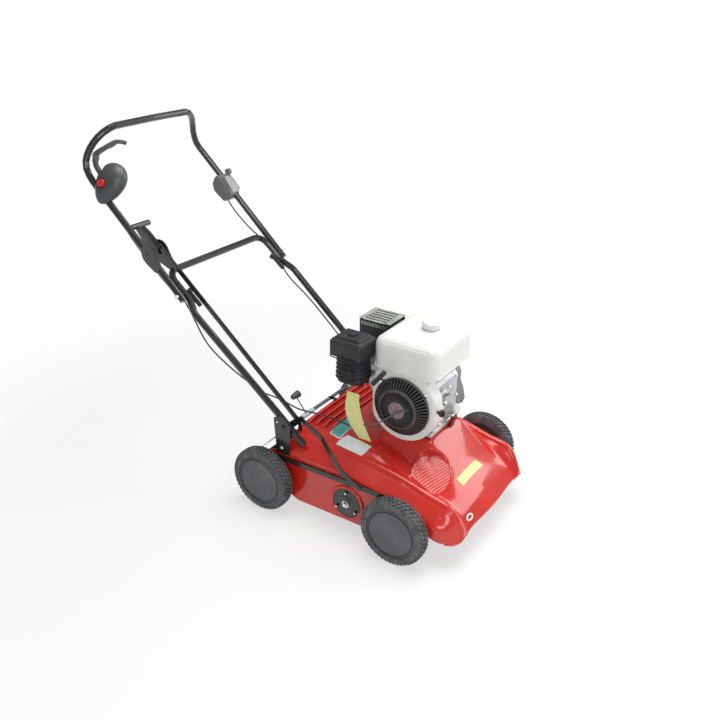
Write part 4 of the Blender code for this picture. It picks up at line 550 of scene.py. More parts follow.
def soft_max(a, b, ease):
    close = np.maximum(ease - np.abs(a - b), 0.0) / ease
    return np.maximum(a, b) + close * close * ease / 4


def smooth_step(value, low, high):
    t = np.clip((value - low) / (high - low), 0.0, 1.0)
    return t * t * (3 - 2 * t)


def from_line(points, line):
    """Distance of every point to a line through the given ones, and how far along it lies."""
    best, along = np.full(len(points), 9.0), np.zeros(len(points))
    for k, (a, b) in enumerate(zip(line, line[1:])):
        ab = b - a
        t = np.clip(((points - a) @ ab) / (ab @ ab), 0.0, 1.0)
        d = np.linalg.norm(points - (a + t[:, None] * ab), axis=1)
        closer = d < best
        best[closer] = d[closer]
        along[closer] = (k + t[closer]) / (len(line) - 1)
    return best, along

# %% [markdown]
# First the plain sheet with the engine's seat, then the rails with their gutters, the hollows over
# the front wheels and the ribbed round, which is levelled to a plane before its ribs are added.

# %% The fine surface
drawn = np.array([[line[0]] + list(even_curve(line[1:], GRID_LONG - 1)) for line in DECK_LINES])
half = np.array([even_curve(drawn[:, i, :], GRID_WIDE, knot=2) for i in range(GRID_LONG)])
grid = np.concatenate([half[:, :0:-1] * (-1, 1, 1), half], axis=1)
rows, cols = grid.shape[:2]
x, y, z = (grid[..., k] for k in range(3))

ahead = np.clip((SEAT_FRONT - y) / SEAT_RUN, 0.0, 1.3)
seat = (SEAT_Z - SEAT_SLOPE * soft_over(SEAT_FRONT - y, 0.012)
        - SEAT_BACK_SLOPE * soft_over(y - SEAT_REAR - 0.01))
steep, ease = 2.2 - 1.35 * np.minimum(ahead, 1.0), 0.01 + 0.05 * ahead
seat -= steep * soft_over(SEAT_RIGHT - SEAT_SPREAD * ahead - x, ease)
seat -= steep * soft_over(x - SEAT_LEFT - SEAT_SPREAD * ahead, ease)
grid[..., 2] = np.where(seat > z - 0.04, soft_max(z, seat, 0.026), z)

normals = np.cross(np.gradient(grid, axis=1), np.gradient(grid, axis=0))
normals /= np.linalg.norm(normals, axis=2, keepdims=True)
turned = bool(normals[rows // 2, cols // 2, 2] < 0)
normals *= -1.0 if turned else 1.0

flat = grid.reshape(-1, 3)
height = np.zeros(len(flat))
for side in (-1, 1):
    rail_line = even_curve(np.array(DECK_LINES[2][2:]) * (side, 1, 1), 60)
    gap, along = from_line(flat, rail_line)
    height += 0.006 * np.maximum(0.0, 1 - (gap / 0.0135) ** 2) ** 0.8 * smooth_step(along, 0.1, 0.3)
    gap, along = from_line(flat, rail_line - np.array((side * 0.018, 0.0, 0.0)))
    there = smooth_step(along, 0.5, 0.56) * (1 - smooth_step(along, 0.84, 0.88))
    height -= 0.0045 * np.exp(-(gap / 0.0042) ** 2) * there
    hollow = np.array((side * 0.236, -0.262, 0.158))
    height -= 0.004 * np.exp(-(np.linalg.norm(flat - hollow, axis=1) / 0.016) ** 2)
spots = flat + np.array((0, SHIFT, 0))
disc_at = np.argmin(np.linalg.norm(np.cross(spots - np.array(cam_at), np.array(sight(*DISC_PX))), axis=1))
across_ribs = np.array(sight(*DISC_PX).cross(sight(*DISC_ALONG_PX)).normalized())
reach = np.linalg.norm(flat - flat[disc_at], axis=1)
print("ribbed round at", flat[disc_at].round(3))
in_disc = 1 - smooth_step(reach, DISC_R - 0.007, DISC_R + 0.004)
border = flat[np.abs(reach - DISC_R) < 0.004]
level_normal = np.linalg.svd(border - border.mean(axis=0), full_matrices=False)[2][2]
off_level = (flat - border.mean(axis=0)) @ level_normal
grid = (flat - level_normal * (off_level * in_disc)[:, None]).reshape(grid.shape)
height -= 0.0034 * in_disc
ribbed = 1 - smooth_step(reach, DISC_R - 0.012, DISC_R - 0.005)
height += 0.0005 * np.sin(2 * math.pi * (spots @ across_ribs) / DISC_PITCH) * ribbed
grid += normals * height.reshape(rows, cols, 1)
grid[..., 0] = np.clip(grid[..., 0], -SKIRT_X, SKIRT_X)
grid[..., 1] = np.maximum(grid[..., 1], LIP_Y)
print("deck grid", rows, "x", cols, "pressed from", round(float(height.min()), 4), "to",
      round(float(height.max()), 4))

# %% [markdown]
# The sheet gets its thickness as a second layer below the first, with a wall along every open edge
# and the belt's slot left open. The flat side plates are taken over from the solid, and a thin roll
# closes the sheet's free edges.

# %% The deck's sheet
SLOT_X, SLOT_Y, SLOT_HALF_X, SLOT_HALF_Y = 0.128, -0.00687, 0.016, 0.066
middle_of = (grid[:-1, :-1] + grid[1:, 1:]) / 2
kept = ~((np.abs(middle_of[..., 0] - SLOT_X) < SLOT_HALF_X)
         & (np.abs(middle_of[..., 1] - SLOT_Y) < SLOT_HALF_Y))
both_layers = np.concatenate([grid.reshape(-1, 3), (grid - normals * SHEET_T).reshape(-1, 3)])
both_layers[:, 1] += SHIFT
size = rows * cols
faces = []
for i, j in np.argwhere(kept).tolist():
    corners = (i * cols + j, i * cols + j + 1, (i + 1) * cols + j + 1, (i + 1) * cols + j)
    below = tuple(size + c for c in corners)
    faces += [corners[::-1], below] if turned else [corners, below[::-1]]
    for k, (m, n) in enumerate(((i - 1, j), (i, j + 1), (i + 1, j), (i, j - 1))):
        if not (0 <= m < rows - 1 and 0 <= n < cols - 1 and kept[m, n]):
            a, b = corners[k], corners[(k + 1) % 4]
            faces.append((a, b, b + size, a + size) if turned else (b, a, a + size, b + size))
solid = nodes["deck_shell"].data
points = [tuple(p) for p in both_layers] + [tuple(v.co) for v in solid.vertices]
on_plate = []
for px, py, pz in points[len(both_layers):]:
    ring = math.hypot(py - ROTOR.y, pz - ROTOR.z)
    on_plate.append(SIDE_X - 0.0032 < abs(px) < SIDE_X + 0.0002 and pz < 0.2125
                    or abs(px) > SIDE_X - 0.0015 and 0.03 < ring < 0.06)
for polygon in solid.polygons:
    if all(on_plate[v] for v in polygon.vertices):
        faces.append(tuple(len(both_layers) + v for v in polygon.vertices))
deck_mesh = bpy.data.meshes.new("pressed_deck")
deck_mesh.from_pydata(points, [], faces)
deck_mesh.update()
smooth(deck_mesh, 38)
deck_mesh.materials.append(RED)
deck = put("pressed_deck", deck_mesh)
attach(deck, "frame")
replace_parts(deck, "deck_shell")
trees["deck_shell"] = BVHTree.FromPolygons(points, faces)

rim = Piece("rolled_deck_edge", RED, "red_paint")
rim.tube([Vector(p) + Vector((0, SHIFT, -0.0008)) for p in grid[-1, ::6]], 0.0021, 10, 0)
for column in (-1, 0):
    rim.tube([Vector(p) + Vector((0, SHIFT, -0.0006)) for p in grid[::6, column]], 0.0017, 8, 0)
rim.done(60)
print("deck faces", len(faces))

# %% [markdown]
# Four near-black sheet walls line the belt's slot as painted shade, so that the belt runs in a dark
# channel below the guard.

# %% Belt channel
# The channel's near-black walls are painted shade.
channel = Piece("belt_channel_painted_shade", PAINTED_SHADE, "black_paint")
for sx, sy in ((1, 0), (-1, 0), (0, 1), (0, -1)):
    channel.block((SLOT_X + sx * SLOT_HALF_X, SLOT_Y + SHIFT + sy * SLOT_HALF_Y, 0.229),
                  (0.0008 if sx else SLOT_HALF_X, 0.0008 if sy else SLOT_HALF_Y, 0.023))
channel.done(30)

# %% [markdown]
# Behind the engine the sheet is lanced into louvres: long hoods whose front edge stands open above a
# dark gap, drawn as a near-black sheet of painted shade. They are sheets that follow the deck, because
# its grid can't show so sharp an edge.

# %% Louvres
LOUVRE_START, LOUVRE_PITCH, LOUVRE_COUNT, LOUVRE_STATIONS = 0.18, 0.0297, 4, 40
LOUVRE_HALF, LOUVRE_H, LOUVRE_DEEP = 0.165, 0.0085, 0.0225


def deck_height(x, y):
    found = trees["deck_shell"].ray_cast(Vector((x, y, 0.6)), Vector(DOWN))[0]
    return found.z if found else 0.28


hoods = Piece("deck_louvres", RED, "red_paint")
# Near-black sheets in the louvres' openings: painted shade.
gaps = Piece("louvre_gap_painted_shade", PAINTED_SHADE, "black_paint")
for k in range(LOUVRE_COUNT):
    foot = LOUVRE_START + k * LOUVRE_PITCH + SHIFT
    hood_rings, gap_rings = [], []
    for i in range(LOUVRE_STATIONS + 1):
        lx = LOUVRE_HALF * (2 * i / LOUVRE_STATIONS - 1)
        tall = LOUVRE_H * math.sqrt(min(1.0, (LOUVRE_HALF + 0.0005 - abs(lx)) / 0.016))
        low = deck_height(lx, foot)
        rear = deck_height(lx, foot + LOUVRE_DEEP)
        outline = ((LOUVRE_DEEP, rear - 0.0004), (0.015, rear + tall * 0.42), (0.0075, low + tall * 0.8),
                   (0.001, low + tall), (-0.0006, low + tall - 0.0006), (-0.0006, low + tall - 0.002),
                   (0.0075, low + tall * 0.8 - 0.0018), (LOUVRE_DEEP, rear - 0.0012))
        top = low + max(tall - 0.0016, 0.0004)
        opening = ((0.0012, low - 0.001), (0.0012, top), (0.0022, top), (0.0022, low - 0.001))
        hood_rings.append([(lx, foot + dy, lz) for dy, lz in outline])
        gap_rings.append([(lx * 0.985, foot + dy, lz) for dy, lz in opening])
    hoods.band(hood_rings)
    gaps.band(gap_rings)
hoods.done(40)
gaps.done(30)
print("louvres", LOUVRE_COUNT)

# %% [markdown]
# ## Rounded edges
# No moulding or casting has a knife edge. A narrow bevel on the solids' sharp corners gives each one
# the bright line that an edge shows in soft light.

# %% Bevels on the solids
EDGE_ROUND = {0.003: "throttle_box", 0.002: "air_cleaner_cover", 0.0015: "crankcase recoil_grip",
              0.0012: "fuel_tank blower_housing", 0.001: "fuel_cap", 0.0009: "belt_guard",
              0.0006: "muffler_guard cylinder_head handle_bracket_right handle_bracket_left height_lever "
                      "tie_bar pull_link"}
for width, names in EDGE_ROUND.items():
    for name in names.split():
        rounding = nodes[name].modifiers.new("edge_round", "BEVEL")
        rounding.width, rounding.segments = width, 3
        rounding.limit_method, rounding.angle_limit = "ANGLE", math.radians(32)
        rounding.harden_normals = False

# %% [markdown]
# ## The grips on the handle
# The egg-shaped box on the operator's right holds the stop button and the squeeze lever. It is a
# smooth moulding, so it is drawn on a fine grid, and the button's well and the lever's mouth are cut
# out of it.

# %% Egg-shaped control box
EGG_AT = Vector((-0.244, 0.998 + SHIFT, 0.973))
EGG_LENGTH, EGG_WIDTH, EGG_DEPTH, EGG_STATIONS = 0.071, 0.047, 0.031, 48
egg_long = Vector((0.5, -0.22, 0.8)).normalized()
egg_out = Vector((-0.8, -0.45, 0.4))
egg_out = (egg_out - egg_long * egg_out.dot(egg_long)).normalized()
egg_wide = egg_long.cross(egg_out)
rings = []
for i in range(1, EGG_STATIONS):
    along = -math.cos(math.pi * i / EGG_STATIONS)
    girth = math.sin(math.pi * i / EGG_STATIONS) * (1.0 + 0.22 * along)
    rings.append([EGG_AT + egg_long * EGG_LENGTH * along
                  + (egg_wide * EGG_WIDTH * c + egg_out * EGG_DEPTH * s) * girth for c, s in circle(64)])
egg_box = Piece("control_box", CONTROL, "grey_plastic", "upper_handle").band(rings).done(40)
BUTTON_AT = EGG_AT - egg_long * 0.01 - egg_wide * 0.016
LEVER_PIN = Vector((-0.246, 1.03 + SHIFT, 0.998))
well = Piece("well", CONTROL, "grey_plastic", "upper_handle")
well.turn(BUTTON_AT + egg_out * 0.018, egg_out, ((0.0, 0.0142), (0.042, 0.0142)), 40)
well.block(LEVER_PIN + Vector((0, 0.015, 0.0235)), (0.0112, 0.03, 0.0365))
cutter = well.bare()
knife = egg_box.modifiers.new("knife", "BOOLEAN")
knife.operation, knife.solver, knife.object = "DIFFERENCE", "EXACT", cutter
cut = bpy.data.meshes.new_from_object(egg_box.evaluated_get(bpy.context.evaluated_depsgraph_get()))
egg_box.modifiers.clear()
egg_box.data = cut
bpy.data.objects.remove(cutter)
smooth(cut, 42)
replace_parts(egg_box, "opc_housing")

Piece("button_surround", MOULDED, "black_plastic", "upper_handle").turn(
    BUTTON_AT + egg_out * 0.0235, egg_out,
    ((0.0, 0.014), (0.0062, 0.014), (0.0076, 0.015), (0.0062, 0.0168), (0.0, 0.0172)), 40, closed=True).done()
Piece("button_cap", BUTTON_RED, "red_plastic", "stop_button").turn(
    BUTTON_AT + egg_out * 0.0331, egg_out,
    ((-0.0022, 0.0128), (0.001, 0.0126), (0.0022, 0.0112), (0.0016, 0.0085), (0.0013, 0.0)), 40).done()

# %% [markdown]
# The squeeze lever is a steel rod in a moulded paddle, wide across the hand and thin along its stroke.

# %% Squeeze lever paddle
lever_path = []
for px in ((97.6, 163), (95.8, 154.2), (101, 150), (109, 146), (116.4, 141.8), (121.5, 142)):
    spot, normal = seen_on("opc_lever", *px)
    if spot:
        lever_path.append(spot - normal * 0.004)
if len(lever_path) > 2:
    PADDLE_WIDE, PADDLE_THIN = 0.0135, 0.0056
    line = [Vector(p) for p in spline(lever_path, 8)]
    rings = []
    for i, point in enumerate(line):
        way = (line[min(i + 1, len(line) - 1)] - line[max(i - 1, 0)]).normalized()
        a = (Vector(LEFT) - way * way.x).normalized()
        b = way.cross(a)
        share = i / (len(line) - 1)
        swell = min(1.0, 0.35 + share / 0.15, 0.35 + (1 - share) / 0.22)
        rings.append([point + a * PADDLE_WIDE * swell * c + b * PADDLE_THIN * s for c, s in circle(20)])
    Piece("squeeze_paddle", CONTROL, "grey_plastic", "opc_lever").band(rings).done(50)
print("paddle through", len(lever_path), "points")

# %% [markdown]
# The throttle's box has a bright side plate with a wire guard round it, and a knob on its lever. The
# plate's outline is read from the picture and set on the box's face.

# %% Throttle's plate, wire and knob
def plate_at(outline, x, thick):
    """The two faces of a flat plate square to X, its outline given in the picture."""
    return [[sight_on_x(px, py, x - depth) for px, py in outline] for depth in (0.0, thick)]


face_x = min(v.co.x for v in nodes["throttle_box"].data.vertices)
PLATE_PX = ((224.0, 176.0), (228.5, 175.0), (232.5, 177.5), (239.5, 187.5), (238.5, 191.5), (233.5, 193.0),
            (230.0, 187.5))
Piece("throttle_side_plate", WHITE, "steel", "upper_handle").band(
    plate_at(PLATE_PX, face_x - 0.0004, 0.0014)).done(30)
Piece("throttle_wire_guard", JACKET, "steel", "upper_handle").tube(
    [sight_on_x(px, py, face_x - 0.0018) for px, py in PLATE_PX + PLATE_PX[:1]], 0.0009, 8, 0).done()
lever_top = max((v.co for v in nodes["throttle_lever"].data.vertices), key=lambda co: co.z)
knob_at = sight_on_x(228.3, 171.5, lever_top.x)
knob = Piece("throttle_knob", THROTTLE_GREY, "grey_plastic", "throttle_lever")
knob.tube([lever_top + Vector((0, 0, -0.004)), lever_top.lerp(knob_at, 0.5), knob_at], 0.0034, 12)
knob.turn(knob_at - Vector((0.008, 0, 0)), LEFT,
          ((0.0, 0.009), (0.0015, 0.011), (0.0145, 0.011), (0.016, 0.009)), 24)
knob.done()
print("throttle box face", round(face_x, 4), "knob", tuple(round(v, 4) for v in knob_at))

# %% [markdown]
# The height lever is cut from flat bar and widens towards its pivot, so a shaped plate is laid on it.

# %% Height lever's plate
spot, normal = seen_on("height_lever", 141.5, 231.5)
print("height lever seen at", spot)
if spot:
    blade = Piece("height_lever_plate", CONTROL, "black_paint", "height_lever")
    blade.band(plate_at(
        ((139.0, 228.5), (144.5, 225.5), (150.5, 231.5), (157.0, 239.5), (160.0, 246.5), (156.0, 250.0),
         (148.5, 247.5), (144.0, 242.0)), spot.x - 0.0002, 0.0026))
    blade.bevel(0.0007)
    blade.done(30)

# %% [markdown]
# ## Tyres
# The tread is a ring of small staggered blocks that catches the light as a row of specks. A bump
# would leave the outline smooth, so the blocks are modelled, on a carcass that is as much smaller as
# they are high.

# %% Tyres with a block tread
TREAD_H, TREAD_COUNT = 0.0048, 46
TREAD_STEP = 2 * math.pi / TREAD_COUNT
flank = ((TYRE_HALF, RIM_R + 0.0005), (TYRE_HALF, 0.088), (TYRE_HALF - 0.001, 0.09),
         (TYRE_HALF - 0.0003, 0.096), (TYRE_HALF - 0.0045, 0.1035), (0.01, WHEEL_R - TREAD_H))
carcass = tuple((-across, radius) for across, radius in flank) + flank[::-1]


def tread_block(piece, centre, angle, width, offset, half_turn, low, high, tip=0.0):
    """One rubber block between two radii, its top a little smaller than its foot."""
    rings = []
    for radius, shrink in ((low, 1.0), (high - 0.0006, 0.94), (high, 0.8)):
        ring = []
        for u, v in ((-1, -1), (1, -1), (1, 1), (-1, 1)):
            turn = angle + half_turn * v * shrink + 0.01 * u
            x = offset + width * u * shrink
            r = radius - tip * max(0.0, (abs(x) - 0.01) / 0.01)
            ring.append(centre + Vector((x, r * math.cos(turn), r * math.sin(turn))))
        rings.append(ring)
    piece.band(rings)


def tyre(name, side, y):
    centre = Vector((side * TRACK_HALF, y, WHEEL_R))
    piece = Piece(name + "_treaded_tyre", RUBBER, "rubber", name + "_wheel")
    piece.turn(centre, LEFT, carcass, 72, closed=True)
    for k in range(TREAD_COUNT):
        for row, offset in enumerate((-0.0125, 0.0, 0.0125)):
            tread_block(piece, centre, TREAD_STEP * (k + 0.5 * (row % 2)), 0.0044, offset, TREAD_STEP * 0.3,
                        WHEEL_R - TREAD_H - 0.003, WHEEL_R, 0.0022 if row != 1 else 0.0)
        for offset in (-0.0192, 0.0192):
            tread_block(piece, centre, TREAD_STEP * (k + 0.5), 0.0017, offset, TREAD_STEP * 0.26,
                        WHEEL_R - 0.0125, WHEEL_R - 0.004)
    obj = piece.done(30)
    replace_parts(obj, name + "_tyre")
    print(obj.name)


for wheel in WHEELS:
    tyre(*wheel)

# %% [markdown]
# Each hub cap snaps into its rim, and a thin raised ring marks the seam.

# %% Thin rings on the hub caps
for name, side, y in WHEELS:
    Piece(name + "_hub_ring", MOULDED, "black_plastic", name + "_wheel").turn(
        (side * (TRACK_HALF + TYRE_HALF) + side * 0.0001, y, WHEEL_R), (side, 0, 0),
        ((0.0, 0.0735), (0.001, 0.074), (0.001, 0.0765), (0.0, 0.077)), 64, closed=True).done()

# %% [markdown]
# ## The slotted starter cover
# The cover lets the fan draw air through narrow slots. Cutting them out of a dome is slow and ragged;
# building the ribs that stay between them, with a near-black cone behind them as painted shade for
# the slots, gives the same look with clean edges.

# %% Starter cover
RIBS_FLANK, RIBS_FACE = 52, 44
back_x = RECOIL_FACE_X + RECOIL_DEPTH
middle = (back_x, CRANK.y, CRANK.z)


def rib(piece, angle, line, half, thick):
    """A rib that follows a line of (depth, radius), with its back set inwards."""
    rings = []
    for i, (depth, radius) in enumerate(line):
        before, after = line[max(i - 1, 0)], line[min(i + 1, len(line) - 1)]
        run, climb = after[1] - before[1], after[0] - before[0]
        length = math.hypot(run, climb)
        under = (depth - abs(run) / length * thick, radius - abs(climb) / length * thick)
        turn = half / radius
        rings.append([(back_x - d, CRANK.y + r * math.cos(angle + s * turn),
                       CRANK.z + r * math.sin(angle + s * turn))
                      for d, r, s in ((depth, radius, -1), (depth, radius, 1), (*under, 1), (*under, -1))])
    piece.band(rings)


cover = Piece("slotted_starter_cover", GRILLE, "black_plastic")
cover.turn(middle, RIGHT, ((0.0, RECOIL_R - 0.004), (0.0, RECOIL_R), (0.006, RECOIL_R),
                           (0.0082, RECOIL_R - 0.0012), (0.006, RECOIL_R - 0.004)), 96, closed=True)
cover.turn(middle, RIGHT, ((0.0262, 0.0655), (0.0292, 0.064), (0.0322, 0.0605), (0.0318, 0.058),
                           (0.029, 0.059), (0.025, 0.062)), 96, closed=True)
cover.turn(middle, RIGHT, ((0.03, 0.0), (0.03, 0.03), (0.0325, 0.03), (0.0338, 0.0286), (0.0338, 0.0262),
                           (0.033, 0.0258), (0.033, 0.0)), 64)
for count, shift, half, thick, line in (
        (RIBS_FLANK, 0, 0.00165, 0.003, ((0.007, 0.093), (0.0115, 0.0908), (0.018, 0.0815), (0.0265, 0.065))),
        (RIBS_FACE, 0.5, 0.00105, 0.0024, ((0.0322, 0.029), (0.0324, 0.043), (0.0316, 0.0585)))):
    for k in range(count):
        rib(cover, 2 * math.pi * (k + shift) / count, line, half, thick)
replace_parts(cover.done(30), "recoil_cover")

# The first of these is a near-black cone: painted shade seen through the slots.
for name, material, seg, closed, profile in (
        ("starter_cover_inside", PAINTED_SHADE, 64, False,
         ((0.0012, 0.0), (0.0012, 0.0885), (0.006, 0.088), (0.02, 0.066), (0.027, 0.056), (0.027, 0.0))),
        ("plain_badge_rim", ROSE_RIM, 48, True,
         ((0.0334, 0.0238), (0.0344, 0.0242), (0.0346, 0.0252), (0.0334, 0.0258))),
        ("plain_badge", ROSE_BADGE, 48, False,
         ((0.0329, 0.0), (0.0329, 0.0246), (0.0335, 0.0252), (0.0339, 0.0238), (0.034, 0.0)))):
    Piece(name, material, "black_plastic").turn(middle, RIGHT, profile, seg, closed).done()
print("ribs", RIBS_FLANK + RIBS_FACE)

# %% [markdown]
# Four screws hold the engine's shroud. The throttle's cable crosses the starter cover and is held by a
# clip at the shroud's rim; it hangs clear of the ribs, so it throws a thin shadow on them.

# %% Screws and the cable over the cover
def screwed(name, body, screws, washer=True):
    """A piece of screws alone, each given by its place, direction and width."""
    piece = Piece(name, ZINC, "steel", body)
    for at, direction, across in screws:
        piece.screw(at, direction, across, washer)
    piece.done(30)


def on_circle(centre, x, radius, degrees):
    """A place on a circle square to X."""
    a = math.radians(degrees)
    return (x, centre.y + radius * math.cos(a), centre.z + radius * math.sin(a))


FRONT_OF_SHROUD = -0.1312
screwed("engine_screws", "frame",
        [(on_circle(CRANK, FRONT_OF_SHROUD, 0.1, degrees), RIGHT, 0.0065) for degrees in (38, 142, 215, 322)])

Piece("cable_over_cover", GREY_JACKET, "cable_jacket").tube(
    [sight_on_x(*p) for p in ((362, 425, -0.15), (374, 424.5, -0.1725), (385, 419.5, -0.1725),
                              (397, 413.5, -0.1725), (409, 409.5, -0.158), (419, 405.5, -0.1365))],
    0.0024).done()
clip = Piece("cable_clip", ZINC, "steel")
clip_at = sight_on_x(417.5, 406.5, -0.1362)
clip.turn(clip_at, (0, -0.8, 0.45), ((-0.004, 0.0026), (0.004, 0.0026), (0.004, 0.004), (-0.004, 0.004)),
          16, closed=True)
clip.block(clip_at + Vector((0.0032, 0, -0.008)), (0.001, 0.004, 0.008))
clip.screw(clip_at + Vector((0.0022, 0, -0.0125)), RIGHT, 0.0055, washer=False)
clip.done(30)

# %% [markdown]
# On the other side the throttle's cable runs forward under the muffler to a stop on the crankcase,
# where its wire would pull the governor's plate.

# %% Cable's end on the crankcase
STOP_X, STOP_Z = 0.068, 0.418
found = tree_of("crankcase").ray_cast(Vector((STOP_X, -0.2, STOP_Z)), Vector(FRONT))[0]
wall = found if found else Vector((STOP_X, -0.364, STOP_Z))
Piece("throttle_cable_end", JACKET, "cable_jacket").tube(
    [(0.129, -0.164, 0.419), (0.123, -0.185, 0.424), (0.1, -0.235, 0.426),
     (0.074, -0.295, 0.421), wall + Vector((0, 0.018, 0.001)), wall], 0.0026, 12).done()
stop = Piece("throttle_cable_stop", ZINC, "steel")
stop.turn(wall + Vector((0, 0.022, 0.001)), FRONT,
          ((0.0, 0.003), (0.0, 0.0046), (0.012, 0.0046), (0.012, 0.003)), 20, closed=True)
stop.block(wall + Vector((0, 0.012, -0.006)), (0.0085, 0.0125, 0.001))
stop.block(wall + Vector((0, 0.0008, -0.013)), (0.0085, 0.001, 0.008))
stop.screw(wall + Vector((0, 0.0016, -0.014)), REAR, 0.007, washer=False)
stop.done(30)
print("throttle cable stops at", tuple(round(v, 3) for v in wall))

# %% [markdown]
# ## The governor beside the shroud
# Between the shroud and the belt guard a bright arm turns with the engine's speed and pulls on the
# carburettor through long springs. Its small bright parts read as a tangle in the picture.

# %% Governor
def coil(start, end, radius, turns, steps=12):
    """Points of a coil spring with straight ends."""
    start, end = Vector(start), Vector(end)
    _, side, up = axes_of(end - start)
    points = [start]
    for i in range(turns * steps + 1):
        a = 2 * math.pi * i / steps
        share = 0.12 + 0.76 * i / (turns * steps)
        points.append(start.lerp(end, share) + (side * math.cos(a) + up * math.sin(a)) * radius)
    return points + [end]


FRONT_Y, ARM_X, SPRING_WIRE = CRANK.y - 0.0785, -0.052, 0.0007
governor = Piece("governor_arm", ZINC, "steel")
governor.tube([(ARM_X, FRONT_Y + 0.004, 0.372), (ARM_X, FRONT_Y - 0.012, 0.372)], 0.0042, 14, 0)
for x, ahead, z, across in ((ARM_X, 0.012, 0.372, 0.01), (-0.02, 0.008, 0.411, 0.009),
                            (-0.006, 0.001, 0.442, 0.008), (0.02, 0.001, 0.45, 0.008)):
    governor.screw((x, FRONT_Y - ahead, z), FRONT, across)
governor.block((ARM_X, FRONT_Y - 0.0095, 0.415), (0.0048, 0.001, 0.046))
governor.block((ARM_X + 0.016, FRONT_Y - 0.0075, 0.456), (0.022, 0.0009, 0.0042))
governor.block((-0.02, FRONT_Y - 0.004, 0.408), (0.016, 0.004, 0.009),
               ((1, 0, 0.3), (0, 1, 0), (-0.3, 0, 1)))
governor.done(30)
springs = Piece("governor_springs", STEEL, "steel")
for z, end_x, end_z, radius, turns in ((0.448, 0.01, 0.436, 0.0032, 12), (0.425, -0.016, 0.408, 0.0028, 9)):
    springs.tube(coil((ARM_X, FRONT_Y - 0.0125, z), (end_x, FRONT_Y - 0.011, end_z), radius, turns),
                 SPRING_WIRE, 6, 0)
springs.done()

LEANING = ((1, 0, 0), (0, 1, 0.25), (0, -0.25, 1))
# The stay's darker red enamel is painted shade.
stay = Piece("engine_front_stay", SHADED_RED, "red_paint")
stay.block((0.04, -0.149 + SHIFT, 0.325), (0.011, 0.0022, 0.022), LEANING)
stay.block((0.0295, -0.145 + SHIFT, 0.324), (0.0012, 0.006, 0.021), LEANING)
stay.bevel(0.0008)
stay.screw((0.04, -0.1515 + SHIFT, 0.333), (0, -0.97, -0.24), 0.0085)
stay.done(30)

Piece("stop_switch_lead", JACKET, "cable_jacket").tube(
    [(-0.1335, CRANK.y - 0.07, 0.446), (-0.134, CRANK.y - 0.078, 0.462),
     (-0.131, CRANK.y - 0.08, 0.48), (-0.12, CRANK.y - 0.074, 0.494)], 0.0017).done()
screwed("crankcase_bolts", "frame",
        [((x, FRONT_Y - 0.0002, z), FRONT, 0.0085) for x, z in
         ((-0.07, 0.335), (-0.03, 0.34), (0.07, 0.345), (0.074, 0.4), (0.066, 0.47), (-0.07, 0.468))])

# %% [markdown]
# ## The air cleaner
# The part under the cover is as wide as the cover and crinkled all round, so it is a rounded box with
# waves that run round it. The cover gets a rim round its foot and a wing knob on top.

# %% Crinkled intake and the cover's trim
def rounded_ring(centre, half_x, half_y, z, count=56, power=3.2):
    """Points round an upright box whose corners are rounded by a power."""
    return [(centre[0] + half_x * math.copysign(abs(c) ** (2 / power), c),
             centre[1] + half_y * math.copysign(abs(s) ** (2 / power), s), z) for c, s in circle(count)]


INTAKE_AT, TRIM_AT = (-0.1345, 0.117 + SHIFT), (-0.134, 0.1195 + SHIFT)
intake = Piece("crinkled_intake", MOULDED, "black_plastic")
rings = []
for i in range(61):
    t = i / 60
    bulge = 0.002 * math.sin(2 * math.pi * t * 6.0) * (1 if 0.04 < t < 0.9 else 0)
    narrow = 0.011 * max(0.0, 1 - t / 0.22) ** 2 + 0.003 * t
    rings.append(rounded_ring(INTAKE_AT, 0.045 - narrow + bulge, 0.05 - narrow + bulge, 0.4662 + 0.087 * t))
intake.band(rings)
for k in range(4):
    intake.tube([(INTAKE_AT[0] - 0.0465 + 0.0015 * k, INTAKE_AT[1] + 0.024 * c,
                  0.505 + (0.03 - 0.006 * k) * s) for c, s in circle(24) + [(1.0, 0.0)]], 0.0016, 8, 0)
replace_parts(intake.done(50), "air_cleaner_base")

trim = Piece("air_cleaner_trim", MOULDED, "black_plastic")
for z, grow in ((0.5545, 0.0012), (0.561, 0.0009)):
    trim.band([rounded_ring(TRIM_AT, 0.05 + grow + a, 0.0585 + grow + a, z + b, 64, 7.0)
               for a, b in ((-0.003, -0.0014), (0.0, -0.001), (0.0, 0.001), (-0.003, 0.0014))], closed=True)
trim.turn((*TRIM_AT, 0.6195), UP, ((0.0, 0.013), (0.004, 0.0125), (0.0052, 0.01), (0.0052, 0.0)), 24)
for c, s in circle(8)[:4]:
    trim.block((*TRIM_AT, 0.6222), (0.015, 0.0022, 0.0022), ((c, s, 0), (-s, c, 0), (0, 0, 1)))
trim.done(40)
